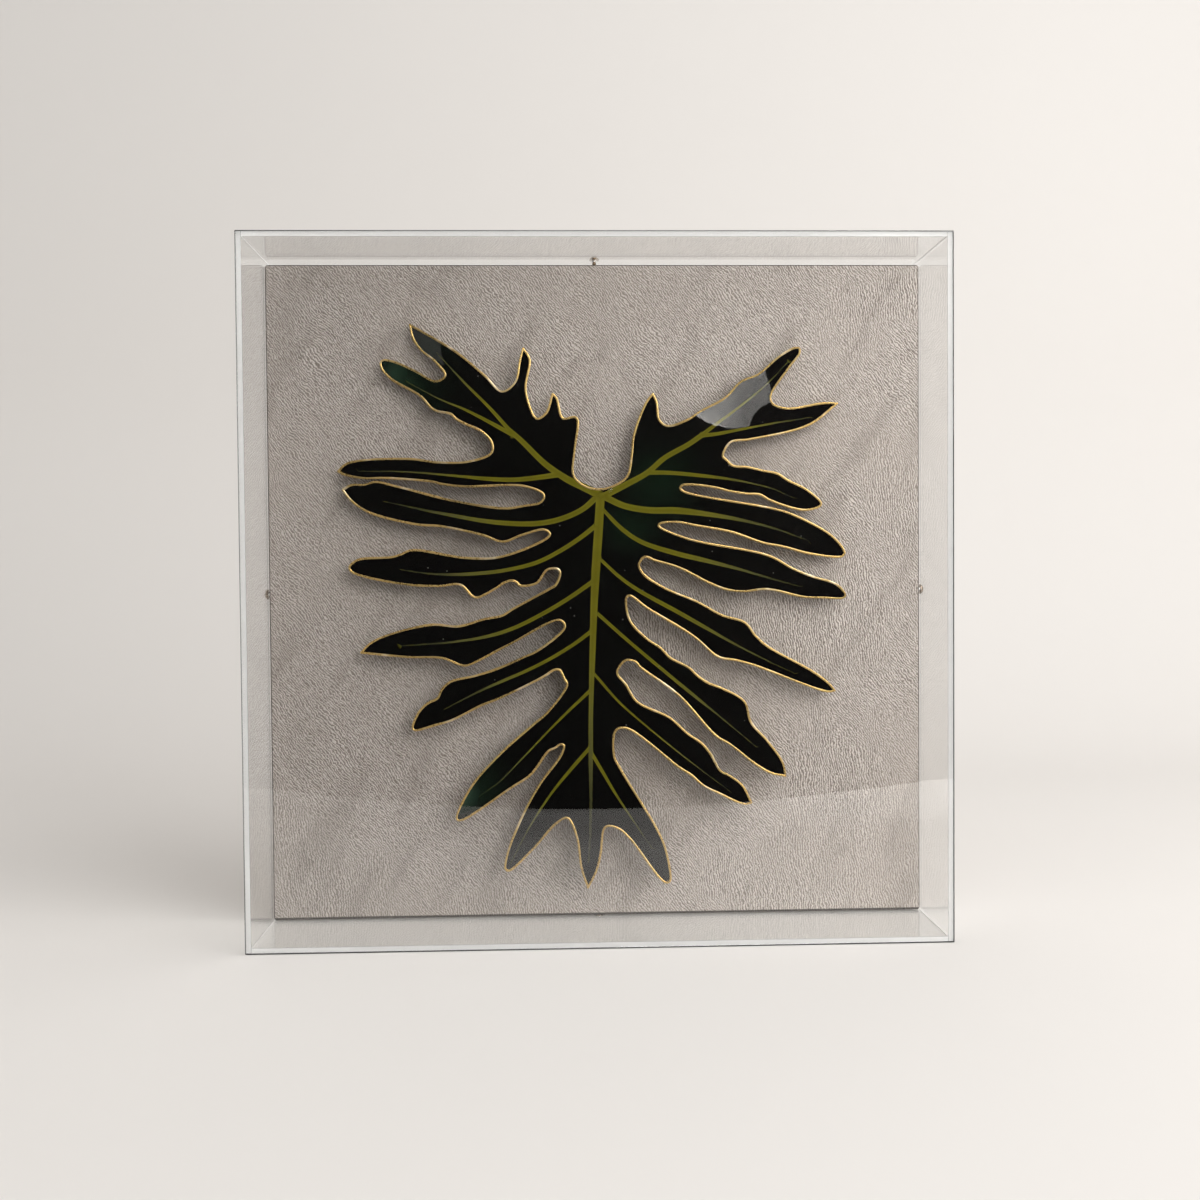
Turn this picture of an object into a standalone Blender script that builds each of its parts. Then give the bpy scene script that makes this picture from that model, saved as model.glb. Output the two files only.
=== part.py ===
"""Pressed leaf with a gilt edge in a clear box frame.

Metres, +Z up, the front facing -Y. The origin is the middle of the base. The box is five clear
sheets; a wrapped board closes its back, four screws hold the board, and the leaf stands on
short posts in front of it.
"""
import math

import bmesh
import bpy
from mathutils import Vector

MM = 0.001

# Clear box
BOX_WIDTH = 400 * MM
BOX_HEIGHT = 402 * MM
BOX_DEPTH = 75 * MM
SHEET = 3 * MM
GAP = 0.3 * MM

# Board with its cover, measured from the front of the box
PANEL_SETBACK = 60.4 * MM
PANEL_SIZE = 393.2 * MM
COVER = 1 * MM
COVER_CORNER = 2 * MM
COVER_EDGE = 0.6 * MM
COVER_MARGIN = 22 * MM
CORNER_SEGMENTS = 4
EDGE_SEGMENTS = 2
BOARD_THICKNESS = 5 * MM

# Leaf, a gently domed sheet that stands off the panel
HUB_X = 2 * MM
HUB_Z = 255 * MM
LEAF_SCALE = 1.004
LEAF_THICKNESS = 1.6 * MM
LEAF_MIDDLE = (-4 * MM, -63 * MM)
LEAF_HALF_WIDTH = 150 * MM
LEAF_HALF_HEIGHT = 165 * MM
LEAF_LIFT = 12.5 * MM
LEAF_DROP = 5 * MM
LEAF_RISE = 4.2 * MM
LEAF_GRID = 18 * MM
CURVE_STEP = 1.0
CURVE_TOLERANCE = 0.32

# Gilt rim round the leaf's edge, its middle on the outline
RIM_HALF_WIDTH = 0.85 * MM
RIM_PROUD = 0.3 * MM
RIM_TIP_LIMIT = 1.3
SHARPEST_MITRE = 0.02
OFFSET_LEAST = 0.97

# Posts behind the leaf, from the hub
POST_RADIUS = 4 * MM
POST_SIDES = 12
POST_PLACES = ((-24, 6), (31, 2), (-15, -66), (7, -86), (-4, -172))

# Screws through the walls into the board's edges
SHANK_RADIUS = 1.2 * MM
SHANK_LENGTH = 14 * MM
SHANK_POINT = 2 * MM
POINT_RADIUS = 0.25 * MM
HEAD_RADIUS = 3 * MM
DOME_HEIGHT = 2.1 * MM
DOME_STEPS = (0.35, 0.65, 0.9)
HOLE_EXTRA = 1 * MM
SINK_DEPTH = 1.7 * MM
SINK_BACK = 0.2 * MM
SCREW_SIDES = 12

# Places worked out from the sizes above
FRONT_Y = -BOX_DEPTH / 2
BACK_Y = BOX_DEPTH / 2
PANEL_Y = FRONT_Y + PANEL_SETBACK
BOARD_Y = PANEL_Y + COVER + GAP
COVER_BACK_Y = BOARD_Y + BOARD_THICKNESS + GAP + COVER
BOARD_SIZE = PANEL_SIZE - 2 * (COVER + GAP)
PANEL_Z = SHEET + GAP + PANEL_SIZE / 2
SCREW_Y = BOARD_Y + BOARD_THICKNESS / 2
WALL_FRONT_Y = FRONT_Y + SHEET + GAP

# Leaf outline in mm from the hub, x to the right and z up, anticlockwise from the front.
# Each run goes from one sharp tip to the next and is drawn as one smooth curve.
LEAF_RUNS = (
    # Notch at the top, from the right spike to the left one
    ((31.9, 62.6), (27.9, 57.3), (20.4, 38.0), (19.1, 26.6), (16.3, 13.8), (9.0, 8.4), (0.4, 6.1),
     (-9.2, 8.1), (-15.7, 14.5), (-15.1, 28.0), (-12.9, 46.9), (-14.4, 49.0), (-21.2, 48.1),
     (-22.8, 49.8), (-25.5, 60.5), (-27.6, 62.8)),
    # Left spikes
    ((-27.6, 62.8), (-31.4, 51.6), (-36.4, 48.1), (-38.6, 49.4), (-43.6, 65.5), (-41.1, 83.4),
     (-44.9, 90.0)),
    ((-44.9, 90.0), (-46.7, 83.0), (-49.7, 69.8), (-57.6, 64.3), (-67.6, 73.7), (-85.1, 88.4),
     (-111.9, 104.6)),
    # Left lobes 1 to 3
    ((-111.9, 104.6), (-109.8, 96.2), (-104.8, 89.1), (-97.3, 83.0), (-91.0, 74.1), (-96.6, 70.7),
     (-108.7, 76.8), (-120.1, 82.1), (-127.6, 83.7), (-129.2, 82.6), (-128.9, 79.4), (-123.7, 73.0),
     (-105.5, 61.9), (-99.4, 55.1), (-95.9, 53.1), (-87.6, 51.2), (-85.1, 48.7), (-80.1, 45.7),
     (-69.8, 40.9), (-63.7, 34.1), (-64.1, 28.0), (-77.3, 23.0), (-95.1, 22.6), (-113.7, 24.9),
     (-149.4, 22.6), (-155.1, 17.9)),
    # Left lobes 3 and 4
    ((-155.1, 17.9), (-150.9, 15.9), (-139.4, 13.8), (-127.3, 13.8), (-98.7, 11.3), (-94.4, 10.1),
     (-80.9, 8.4), (-44.6, 8.3), (-33.3, 3.1), (-34.9, -1.2), (-45.3, -3.4), (-56.0, -4.8),
     (-85.9, -0.3), (-120.1, 8.6), (-133.0, 11.5), (-139.4, 9.9), (-147.3, 9.7), (-152.4, 6.9)),
    # Left lobes 4 to 6
    ((-152.4, 6.9), (-147.3, 0.6), (-137.3, -6.2), (-109.4, -13.7), (-93.7, -15.1), (-70.1, -20.3),
     (-57.6, -24.4), (-46.7, -20.6), (-33.1, -17.5), (-29.9, -20.1), (-31.4, -22.4), (-59.4, -33.5),
     (-80.1, -33.9), (-111.6, -29.1), (-118.7, -31.7), (-123.7, -33.1), (-144.4, -34.8),
     (-148.9, -39.1), (-147.3, -41.7), (-118.0, -48.9), (-96.6, -50.4), (-83.0, -49.8),
     (-75.9, -56.6), (-73.0, -57.3), (-61.6, -51.6), (-57.3, -48.7), (-52.4, -47.5), (-49.6, -48.7),
     (-47.8, -50.5), (-38.1, -49.1), (-31.7, -41.2), (-25.3, -41.0), (-24.1, -43.4), (-26.7, -50.3),
     (-30.3, -52.6), (-51.7, -64.1), (-58.7, -68.3), (-69.4, -70.3), (-84.4, -74.4), (-100.9, -73.4),
     (-128.7, -80.1), (-137.6, -84.7), (-142.4, -89.6)),
    # Left lobes 6 to 9 and the middle lobe
    ((-142.4, -89.6), (-113.7, -92.4), (-94.4, -93.1), (-83.0, -97.4), (-79.8, -97.6), (-55.1, -85.6),
     (-24.6, -71.1), (-21.5, -75.1), (-37.4, -89.0), (-47.4, -93.6), (-61.6, -99.7), (-75.1, -103.9),
     (-89.4, -107.2), (-94.8, -111.9), (-97.3, -116.9), (-103.4, -120.1), (-108.4, -125.1),
     (-112.4, -134.4), (-111.2, -135.8), (-98.7, -132.8), (-89.4, -130.1), (-70.9, -121.1),
     (-61.6, -117.6), (-34.6, -104.7), (-27.8, -100.6), (-24.9, -100.8), (-22.1, -106.1),
     (-20.5, -109.4), (-31.7, -125.4), (-41.0, -133.3), (-59.8, -149.7), (-78.0, -170.0),
     (-86.6, -188.6), (-84.4, -189.4), (-54.4, -170.4), (-42.4, -162.5), (-31.7, -148.6),
     (-27.8, -146.9), (-24.9, -144.9), (-22.8, -145.4), (-24.2, -151.0), (-36.4, -167.5),
     (-45.6, -183.2), (-56.5, -208.9), (-57.8, -218.6), (-55.9, -219.3), (-41.7, -206.8),
     (-27.4, -191.4), (-21.0, -188.6), (-15.6, -199.3), (-12.8, -218.6), (-9.2, -229.9)),
    # Middle lobe and right lobes 9 and 8
    ((-9.2, -229.9), (-4.2, -220.0), (-1.6, -210.0), (0.4, -195.7), (2.6, -193.7), (9.0, -195.1),
     (16.1, -201.4), (34.0, -225.4), (37.6, -227.9), (39.6, -226.8), (37.2, -208.6), (32.2, -196.4),
     (11.1, -160.7), (7.0, -152.0), (8.1, -137.2), (14.0, -135.6), (46.1, -159.8), (53.1, -164.3),
     (60.3, -170.6), (69.6, -175.4), (84.6, -182.1), (88.9, -181.4)),
    # Right lobes 8 and 7
    ((88.9, -181.4), (83.5, -171.1), (75.3, -164.8), (70.6, -162.3), (64.5, -151.8), (59.2, -145.4),
     (51.0, -139.7), (40.4, -130.1), (20.8, -120.1), (14.0, -109.4), (9.5, -104.0), (9.6, -101.1),
     (14.4, -95.4), (20.1, -96.3), (23.3, -99.7), (46.1, -116.7), (68.1, -141.1), (76.7, -146.5),
     (91.0, -157.9), (101.0, -163.9), (109.8, -165.9)),
    # Right lobes 7 and 6
    ((109.8, -165.9), (108.1, -157.9), (98.9, -144.7), (89.2, -133.6), (85.3, -121.1), (71.7, -112.9),
     (63.5, -109.6), (57.1, -105.1), (52.1, -100.4), (41.1, -94.4), (35.1, -88.3), (27.2, -82.9),
     (16.9, -71.5), (15.1, -58.4), (16.9, -56.9), (27.4, -64.3), (55.3, -81.7), (69.9, -94.0),
     (79.6, -96.0), (90.3, -98.9), (136.0, -115.8), (140.3, -115.3)),
    # Right lobes 6 to 4
    ((140.3, -115.3), (136.4, -110.8), (126.7, -103.6), (99.6, -88.3), (92.4, -81.9), (86.0, -73.9),
     (72.4, -69.4), (57.4, -61.2), (37.6, -52.6), (25.4, -44.4), (22.7, -38.7), (26.1, -34.1),
     (32.6, -36.2), (46.0, -40.3), (65.3, -50.1), (74.6, -53.7), (84.6, -55.1), (99.6, -53.9),
     (121.7, -58.7), (134.6, -59.3), (145.6, -59.6), (147.1, -58.0), (141.7, -51.6), (126.7, -46.6),
     (115.3, -41.9), (100.3, -33.9), (51.7, -23.5), (34.6, -15.7), (35.8, -14.2), (46.0, -13.5),
     (56.7, -15.5), (78.1, -19.6), (97.4, -26.2), (108.9, -28.4), (126.0, -32.9), (145.3, -34.6),
     (146.9, -32.6)),
    # Right lobes 4 to 2
    ((146.9, -32.6), (144.9, -28.7), (137.4, -21.2), (115.3, -9.6), (104.6, -6.2), (49.6, 4.5),
     (47.6, 6.6), (49.2, 8.4), (66.7, 7.2), (77.4, 4.6), (87.4, 3.1), (95.3, 2.6), (101.7, -0.9),
     (123.1, -6.7), (132.6, -3.4), (124.6, 4.7), (111.7, 11.3), (106.0, 14.9), (97.4, 16.6),
     (87.4, 18.8), (78.9, 19.6), (74.9, 23.2), (73.0, 25.1), (77.4, 33.4), (88.9, 35.3),
     (125.3, 44.2), (143.0, 57.1)),
    # Right lobes 2 and 1 and the right spike
    ((143.0, 57.1), (135.3, 57.3), (112.4, 53.9), (104.2, 56.2), (102.4, 58.7), (102.6, 62.3),
     (114.2, 79.1), (120.4, 87.3), (120.3, 90.1), (117.4, 90.3), (108.1, 85.1), (95.3, 74.4),
     (84.6, 69.8), (75.3, 60.3), (60.3, 52.1), (51.0, 46.4), (40.1, 43.5), (35.4, 47.3),
     (34.1, 57.3), (31.9, 62.6)),
)


def clear_scene():
    for old in list(bpy.data.objects):
        bpy.data.objects.remove(old, do_unlink=True)


def make_material(name, colour, roughness, metallic=0.0, transmission=0.0, ior=1.5):
    material = bpy.data.materials.new(name)
    material.use_nodes = True
    shader = material.node_tree.nodes["Principled BSDF"]
    shader.inputs["Base Color"].default_value = (*colour, 1.0)
    shader.inputs["Roughness"].default_value = roughness
    shader.inputs["Metallic"].default_value = metallic
    shader.inputs["Transmission Weight"].default_value = transmission
    shader.inputs["IOR"].default_value = ior
    material.diffuse_color = (*colour, 1.0)
    return material


def make_object(name, bm, material=None):
    mesh = bpy.data.meshes.new(name)
    bm.to_mesh(mesh)
    bm.free()
    made = bpy.data.objects.new(name, mesh)
    if material:
        mesh.materials.append(material)
    bpy.context.scene.collection.objects.link(made)
    return made


def box_mesh(low, high):
    """A box between two corners."""
    bm = bmesh.new()
    bmesh.ops.create_cube(bm, size=1.0)
    for vert in bm.verts:
        for axis in range(3):
            middle = (low[axis] + high[axis]) / 2
            vert.co[axis] = middle + vert.co[axis] * (high[axis] - low[axis])
    return bm


def turned_mesh(profile, sides):
    """A solid turned about Z from (radius, height) pairs, the first and last of which close it."""
    bm = bmesh.new()
    rings = []
    for radius, height in profile:
        ring = []
        for step in range(sides):
            angle = 2 * math.pi * step / sides
            ring.append(bm.verts.new((radius * math.cos(angle), radius * math.sin(angle), height)))
        rings.append(ring)
    for lower, upper in zip(rings, rings[1:]):
        for step in range(sides):
            after = (step + 1) % sides
            bm.faces.new((lower[step], lower[after], upper[after], upper[step]))
    bm.faces.new(rings[0])
    bm.faces.new(rings[-1])
    bmesh.ops.recalc_face_normals(bm, faces=bm.faces[:])
    return bm


def shade_round(made, angle=40):
    made.data.shade_smooth()
    made.data.set_sharp_from_angle(angle=math.radians(angle))


def cut(target, cutter):
    """Cut a hidden cutter out of the target."""
    cutter.hide_render = True
    cutter.display_type = "WIRE"
    modifier = target.modifiers.new("cut_" + cutter.name, "BOOLEAN")
    modifier.operation = "DIFFERENCE"
    modifier.solver = "EXACT"
    modifier.object = cutter


def between(start, end, knot_start, knot_end, at):
    return start.lerp(end, (at - knot_start) / (knot_end - knot_start))


def catmull_rom(near, knots, at):
    """The curve's point at one parameter value, between the middle two of four points."""
    sides = [between(near[i], near[i + 1], knots[i], knots[i + 1], at) for i in range(3)]
    halves = [between(sides[i], sides[i + 1], knots[i], knots[i + 2], at) for i in range(2)]
    return between(halves[0], halves[1], knots[1], knots[2], at)


def smooth_run(run):
    """Points along a centripetal Catmull-Rom curve through one run, without its last point."""
    points = [Vector(point) for point in run]
    points = [2 * points[0] - points[1]] + points + [2 * points[-1] - points[-2]]
    curve = []
    for index in range(1, len(points) - 2):
        near = points[index - 1:index + 3]
        knots = [0.0]
        for first, second in zip(near, near[1:]):
            knots.append(knots[-1] + math.sqrt((second - first).length))
        count = max(1, round((near[2] - near[1]).length / CURVE_STEP))
        for step in range(count):
            at = knots[1] + (knots[2] - knots[1]) * step / count
            curve.append(catmull_rom(near, knots, at))
    return curve


def thin_out(points, tolerance):
    """Drop the points that lie within the tolerance of a straight line between the kept ones."""
    if len(points) < 3:
        return points
    start, end = points[0], points[-1]
    along = (end - start).normalized()
    offsets = [abs((point - start).cross(along)) for point in points]
    far = max(range(len(points)), key=offsets.__getitem__)
    if offsets[far] <= tolerance:
        return [start, end]
    return thin_out(points[:far + 1], tolerance)[:-1] + thin_out(points[far:], tolerance)


def leaf_outline():
    """The leaf's outline as a closed loop of (x, z) in metres, anticlockwise from the front."""
    loop = []
    for run in LEAF_RUNS:
        curve = smooth_run(run) + [Vector(run[-1])]
        loop += thin_out(curve, CURVE_TOLERANCE)[:-1]
    hub = Vector((HUB_X, HUB_Z))
    return [hub + point * LEAF_SCALE * MM for point in loop]


def distance_to_loop(point, loop):
    nearest = math.inf
    for start, end in zip(loop, loop[1:] + loop[:1]):
        along = end - start
        share = (point - start).dot(along) / along.length_squared
        foot = start + along * min(1.0, max(0.0, share))
        nearest = min(nearest, (point - foot).length_squared)
    return math.sqrt(nearest)


def offset_loop(loop, distance, limit=math.inf):
    """The loop moved outwards by a distance, or inwards by a negative one, with no crossings."""
    moved = []
    for index, point in enumerate(loop):
        before = (point - loop[index - 1]).normalized()
        after = (loop[(index + 1) % len(loop)] - point).normalized()
        normal_before = Vector((before.y, -before.x))
        normal_after = Vector((after.y, -after.x))
        mitre = (normal_before + normal_after) / max(SHARPEST_MITRE, 1 + normal_before.dot(normal_after))
        if distance > 0 and mitre.length > limit:
            mitre *= limit / mitre.length
        place = point + mitre * distance
        if distance_to_loop(place, loop) > abs(distance) * OFFSET_LEAST:
            moved.append(place)
    return moved


def leaf_front_y(x, z):
    """Y of the leaf's front face: it falls back at the sides and top, and rises at the foot."""
    across = (x - HUB_X - LEAF_MIDDLE[0]) / LEAF_HALF_WIDTH
    up = (z - HUB_Z - LEAF_MIDDLE[1]) / LEAF_HALF_HEIGHT
    bend = LEAF_DROP if up > 0 else -LEAF_RISE
    return PANEL_Y - LEAF_LIFT + LEAF_DROP * across ** 2 + bend * up ** 2


def follow_leaf(bm, start, thickness):
    """Thicken flat faces in the XZ plane backwards, and bend them to the leaf's dome."""
    back = bmesh.ops.extrude_face_region(bm, geom=bm.faces[:])["geom"]
    back_verts = [item for item in back if isinstance(item, bmesh.types.BMVert)]
    bmesh.ops.translate(bm, verts=back_verts, vec=(0, thickness, 0))
    for vert in bm.verts:
        vert.co.y += start + leaf_front_y(vert.co.x, vert.co.z)
    bmesh.ops.recalc_face_normals(bm, faces=bm.faces[:])


def slice_faces(bm, spacing):
    """Slice flat faces along X and Z, so that they can bend."""
    for axis in (0, 2):
        low = min(vert.co[axis] for vert in bm.verts)
        high = max(vert.co[axis] for vert in bm.verts)
        count = round((high - low) / spacing)
        normal = [0.0, 0.0, 0.0]
        normal[axis] = 1.0
        for step in range(1, count):
            place = [0.0, 0.0, 0.0]
            place[axis] = low + (high - low) * step / count
            everything = bm.verts[:] + bm.edges[:] + bm.faces[:]
            bmesh.ops.bisect_plane(bm, geom=everything, dist=1e-6, plane_co=place, plane_no=normal)


def add_leaf(outline, material):
    edge = offset_loop(outline, -RIM_HALF_WIDTH - GAP)
    bm = bmesh.new()
    bm.faces.new([bm.verts.new((point.x, 0.0, point.y)) for point in edge])
    slice_faces(bm, LEAF_GRID)
    bmesh.ops.triangulate(bm, faces=bm.faces[:])
    follow_leaf(bm, 0.0, LEAF_THICKNESS)
    shade_round(make_object("leaf", bm, material))


def add_gold_rim(outline, material):
    outer = offset_loop(outline, RIM_HALF_WIDTH, RIM_TIP_LIMIT)
    inner = offset_loop(outline, -RIM_HALF_WIDTH)
    bm = bmesh.new()
    edges = []
    for loop in (outer, inner):
        verts = [bm.verts.new((point.x, 0.0, point.y)) for point in loop]
        for first, second in zip(verts, verts[1:] + verts[:1]):
            edges.append(bm.edges.new((first, second)))
    bmesh.ops.triangle_fill(bm, edges=edges, use_beauty=True, use_dissolve=False)
    follow_leaf(bm, -RIM_PROUD, LEAF_THICKNESS + 2 * RIM_PROUD)
    shade_round(make_object("gold_rim", bm, material))


def add_posts(material):
    for number, (x, z) in enumerate(POST_PLACES, start=1):
        place = Vector((HUB_X + x * MM, HUB_Z + z * MM))
        rim = [place + Vector((POST_RADIUS, 0)), place - Vector((POST_RADIUS, 0)),
               place + Vector((0, POST_RADIUS)), place - Vector((0, POST_RADIUS))]
        leaf_back_y = max(leaf_front_y(*point) for point in rim) + LEAF_THICKNESS
        low = leaf_back_y + GAP
        length = PANEL_Y - GAP - low
        bm = turned_mesh(((POST_RADIUS, 0.0), (POST_RADIUS, length)), POST_SIDES)
        post = make_object(f"leaf_post_{number}", bm, material)
        post.rotation_euler.x = -math.pi / 2
        post.location = (place.x, low, place.y)
        shade_round(post)


def add_box(clear):
    """Front sheet over the full face, side walls behind it, top and base between the sides."""
    half = BOX_WIDTH / 2
    inner = half - SHEET
    sheets = {
        "front_sheet": ((-half, FRONT_Y, 0), (half, FRONT_Y + SHEET, BOX_HEIGHT)),
        "left_sheet": ((-half, WALL_FRONT_Y, 0), (-inner, BACK_Y, BOX_HEIGHT)),
        "right_sheet": ((inner, WALL_FRONT_Y, 0), (half, BACK_Y, BOX_HEIGHT)),
        "bottom_sheet": ((-inner + GAP, WALL_FRONT_Y, 0), (inner - GAP, BACK_Y, SHEET)),
        "top_sheet": ((-inner + GAP, WALL_FRONT_Y, BOX_HEIGHT - SHEET),
                      (inner - GAP, BACK_Y, BOX_HEIGHT)),
    }
    return {name: make_object(name, box_mesh(low, high), clear)
            for name, (low, high) in sheets.items()}


def add_board(wood):
    half = BOARD_SIZE / 2
    low = (-half, BOARD_Y, PANEL_Z - half)
    high = (half, BOARD_Y + BOARD_THICKNESS, PANEL_Z + half)
    return make_object("backing_board", box_mesh(low, high), wood)


def add_cover(hide):
    """The cover: a skin over the front and edges of the board, folded over behind it."""
    half = PANEL_SIZE / 2
    bm = box_mesh((-half, PANEL_Y, PANEL_Z - half), (half, COVER_BACK_Y, PANEL_Z + half))
    corners = [edge for edge in bm.edges
               if abs(edge.verts[0].co.y - edge.verts[1].co.y) > COVER]
    bmesh.ops.bevel(bm, geom=corners, offset=COVER_CORNER, segments=CORNER_SEGMENTS, affect="EDGES")
    front = [edge for edge in bm.edges
             if all(abs(vert.co.y - PANEL_Y) < GAP / 2 for vert in edge.verts)]
    bmesh.ops.bevel(bm, geom=front, offset=COVER_EDGE, segments=EDGE_SEGMENTS, affect="EDGES")
    cover = make_object("board_cover", bm, hide)
    room = BOARD_SIZE / 2 + GAP
    cavity = box_mesh((-room, PANEL_Y + COVER, PANEL_Z - room),
                      (room, COVER_BACK_Y - COVER, PANEL_Z + room))
    cut(cover, make_object("cover_cavity", cavity))
    window = room - COVER_MARGIN
    opening = box_mesh((-window, BOARD_Y, PANEL_Z - window),
                       (window, COVER_BACK_Y + COVER, PANEL_Z + window))
    cut(cover, make_object("cover_opening", opening))
    return cover


def dome_screw_profile():
    """(radius, height) from the point up to the dome, with the seat of the head at 0."""
    profile = [(POINT_RADIUS, -SHANK_LENGTH), (SHANK_RADIUS, SHANK_POINT - SHANK_LENGTH),
               (SHANK_RADIUS, GAP), (HEAD_RADIUS, GAP)]
    for step in DOME_STEPS:
        angle = step * math.pi / 2
        profile.append((HEAD_RADIUS * math.cos(angle), GAP + DOME_HEIGHT * math.sin(angle)))
    return profile


def sunk_screw_profile():
    """The same for a flat head, with the sheet's outer face at 0."""
    return [(POINT_RADIUS, -SHANK_LENGTH), (SHANK_RADIUS, SHANK_POINT - SHANK_LENGTH),
            (SHANK_RADIUS, -SINK_DEPTH - SINK_BACK), (HEAD_RADIUS, -SINK_BACK - GAP),
            (HEAD_RADIUS, -SINK_BACK)]


def hole_profile(sunk):
    """The cutter for one screw: its shank, and the cone of a sunk head, both with clearance."""
    radius = SHANK_RADIUS + GAP
    profile = [(radius, -SHANK_LENGTH - HOLE_EXTRA)]
    if sunk:
        profile += [(radius, -SINK_DEPTH - SINK_BACK), (HEAD_RADIUS + GAP, -SINK_BACK - GAP),
                    (HEAD_RADIUS + GAP, SHEET)]
    else:
        profile.append((radius, SHEET))
    return profile


def add_screws(metal, walls, board, cover):
    """One screw at the middle of each side: domed on the top and sides, sunk in the base."""
    half = BOX_WIDTH / 2
    screws = (
        ("top", (0, SCREW_Y, BOX_HEIGHT), (0, 0, 0), walls["top_sheet"], False),
        ("left", (-half, SCREW_Y, PANEL_Z), (0, -math.pi / 2, 0), walls["left_sheet"], False),
        ("right", (half, SCREW_Y, PANEL_Z), (0, math.pi / 2, 0), walls["right_sheet"], False),
        ("bottom", (0, SCREW_Y, 0), (math.pi, 0, 0), walls["bottom_sheet"], True),
    )
    for side, place, turn, wall, sunk in screws:
        profile = sunk_screw_profile() if sunk else dome_screw_profile()
        screw = make_object("screw_" + side, turned_mesh(profile, SCREW_SIDES), metal)
        hole = make_object("hole_" + side, turned_mesh(hole_profile(sunk), SCREW_SIDES))
        for made in (screw, hole):
            made.location = place
            made.rotation_euler = turn
        shade_round(screw)
        for target in (wall, board, cover):
            cut(target, hole)


def main():
    clear_scene()
    clear = make_material("clear_acrylic", (0.98, 0.99, 0.99), 0.02, transmission=1.0, ior=1.49)
    hide = make_material("grained_cover", (0.40, 0.36, 0.32), 0.6)
    wood = make_material("fibreboard", (0.42, 0.29, 0.18), 0.75)
    gloss = make_material("glossy_leaf", (0.008, 0.014, 0.010), 0.05)
    gold = make_material("gilt", (0.72, 0.55, 0.27), 0.28, metallic=1.0)
    bronze = make_material("bronze_screw", (0.30, 0.22, 0.15), 0.35, metallic=1.0)
    post = make_material("dark_post", (0.05, 0.05, 0.05), 0.6)
    walls = add_box(clear)
    board = add_board(wood)
    cover = add_cover(hide)
    add_screws(bronze, walls, board, cover)
    outline = leaf_outline()
    add_leaf(outline, gloss)
    add_gold_rim(outline, gold)
    add_posts(post)


main()
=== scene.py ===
import math
import bmesh
import bpy
import numpy as np
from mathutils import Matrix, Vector, noise
from mathutils.geometry import delaunay_2d_cdt


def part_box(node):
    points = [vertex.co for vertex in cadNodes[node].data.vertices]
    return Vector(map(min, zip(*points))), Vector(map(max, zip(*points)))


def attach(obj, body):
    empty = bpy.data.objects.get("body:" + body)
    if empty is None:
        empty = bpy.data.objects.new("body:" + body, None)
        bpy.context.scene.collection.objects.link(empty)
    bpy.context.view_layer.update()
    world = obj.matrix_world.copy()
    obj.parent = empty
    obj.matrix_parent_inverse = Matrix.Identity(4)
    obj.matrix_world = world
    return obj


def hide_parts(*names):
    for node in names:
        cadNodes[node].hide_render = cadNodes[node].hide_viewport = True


mm = 0.001
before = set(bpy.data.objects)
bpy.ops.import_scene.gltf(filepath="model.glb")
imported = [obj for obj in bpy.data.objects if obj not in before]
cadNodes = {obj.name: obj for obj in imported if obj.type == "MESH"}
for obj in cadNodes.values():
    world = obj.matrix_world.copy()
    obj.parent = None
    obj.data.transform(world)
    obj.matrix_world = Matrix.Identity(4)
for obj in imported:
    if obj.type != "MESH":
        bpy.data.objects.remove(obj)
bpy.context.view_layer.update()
print("frame loaded")


# Small helpers

def deselectAll():
    bpy.ops.object.select_all(action="DESELECT")


def makeActive(piece):
    deselectAll()
    piece.select_set(True)
    bpy.context.view_layer.objects.active = piece


def applyPlace(piece):
    makeActive(piece)
    bpy.ops.object.transform_apply(location=True, rotation=True, scale=True)


def addModifier(piece, kind, **values):
    # adds a modifier and applies it at once
    makeActive(piece)
    modifier = piece.modifiers.new(kind.lower(), kind)
    for key, value in values.items():
        setattr(modifier, key, value)
    bpy.ops.object.modifier_apply(modifier=modifier.name)


def bevelCorners(piece, width, segments, angle):
    addModifier(piece, "BEVEL", width=width, segments=segments, limit_method="ANGLE",
                angle_limit=math.radians(angle))


def cutAway(piece, tool):
    addModifier(piece, "BOOLEAN", operation="DIFFERENCE", solver="EXACT", object=tool)
    bpy.data.objects.remove(tool)


def pick(piece, test, kind="FACE"):
    # edit mode with only the faces, edges or vertices that pass the test selected
    makeActive(piece)
    bpy.ops.object.mode_set(mode="EDIT")
    bpy.ops.mesh.select_mode(type=kind)
    bpy.ops.mesh.select_all(action="DESELECT")
    mesh = bmesh.from_edit_mesh(piece.data)
    parts = {"FACE": mesh.faces, "EDGE": mesh.edges, "VERT": mesh.verts}[kind]
    for part in parts:
        part.select_set(bool(test(part)))
    mesh.select_flush_mode()
    bmesh.update_edit_mesh(piece.data)


def objectMode():
    bpy.ops.object.mode_set(mode="OBJECT")


def fixNormals(piece):
    pick(piece, lambda face: True)
    bpy.ops.mesh.normals_make_consistent(inside=False)
    objectMode()


def smoothShade(piece, angle=35):
    makeActive(piece)
    bpy.ops.object.shade_smooth_by_angle(angle=math.radians(angle))


def finishPiece(piece, name, material, standsFor):
    # the last step of every piece: name, finish, and what it rides on
    piece.name = name
    piece.data.materials.clear()
    piece.data.materials.append(material)
    applyPlace(piece)
    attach(piece, "root")
    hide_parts(*standsFor)


def finishFaces(piece, material, test):
    # a second finish on the faces whose normal passes the test
    piece.data.materials.append(material)
    for face in piece.data.polygons:
        if test(face.normal):
            face.material_index = 1


def addCube(low, high):
    deselectAll()
    middle = (Vector(low) + Vector(high)) / 2
    bpy.ops.mesh.primitive_cube_add(size=1, location=middle)
    piece = bpy.context.object
    piece.scale = Vector(high) - Vector(low)
    applyPlace(piece)
    return piece


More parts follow.
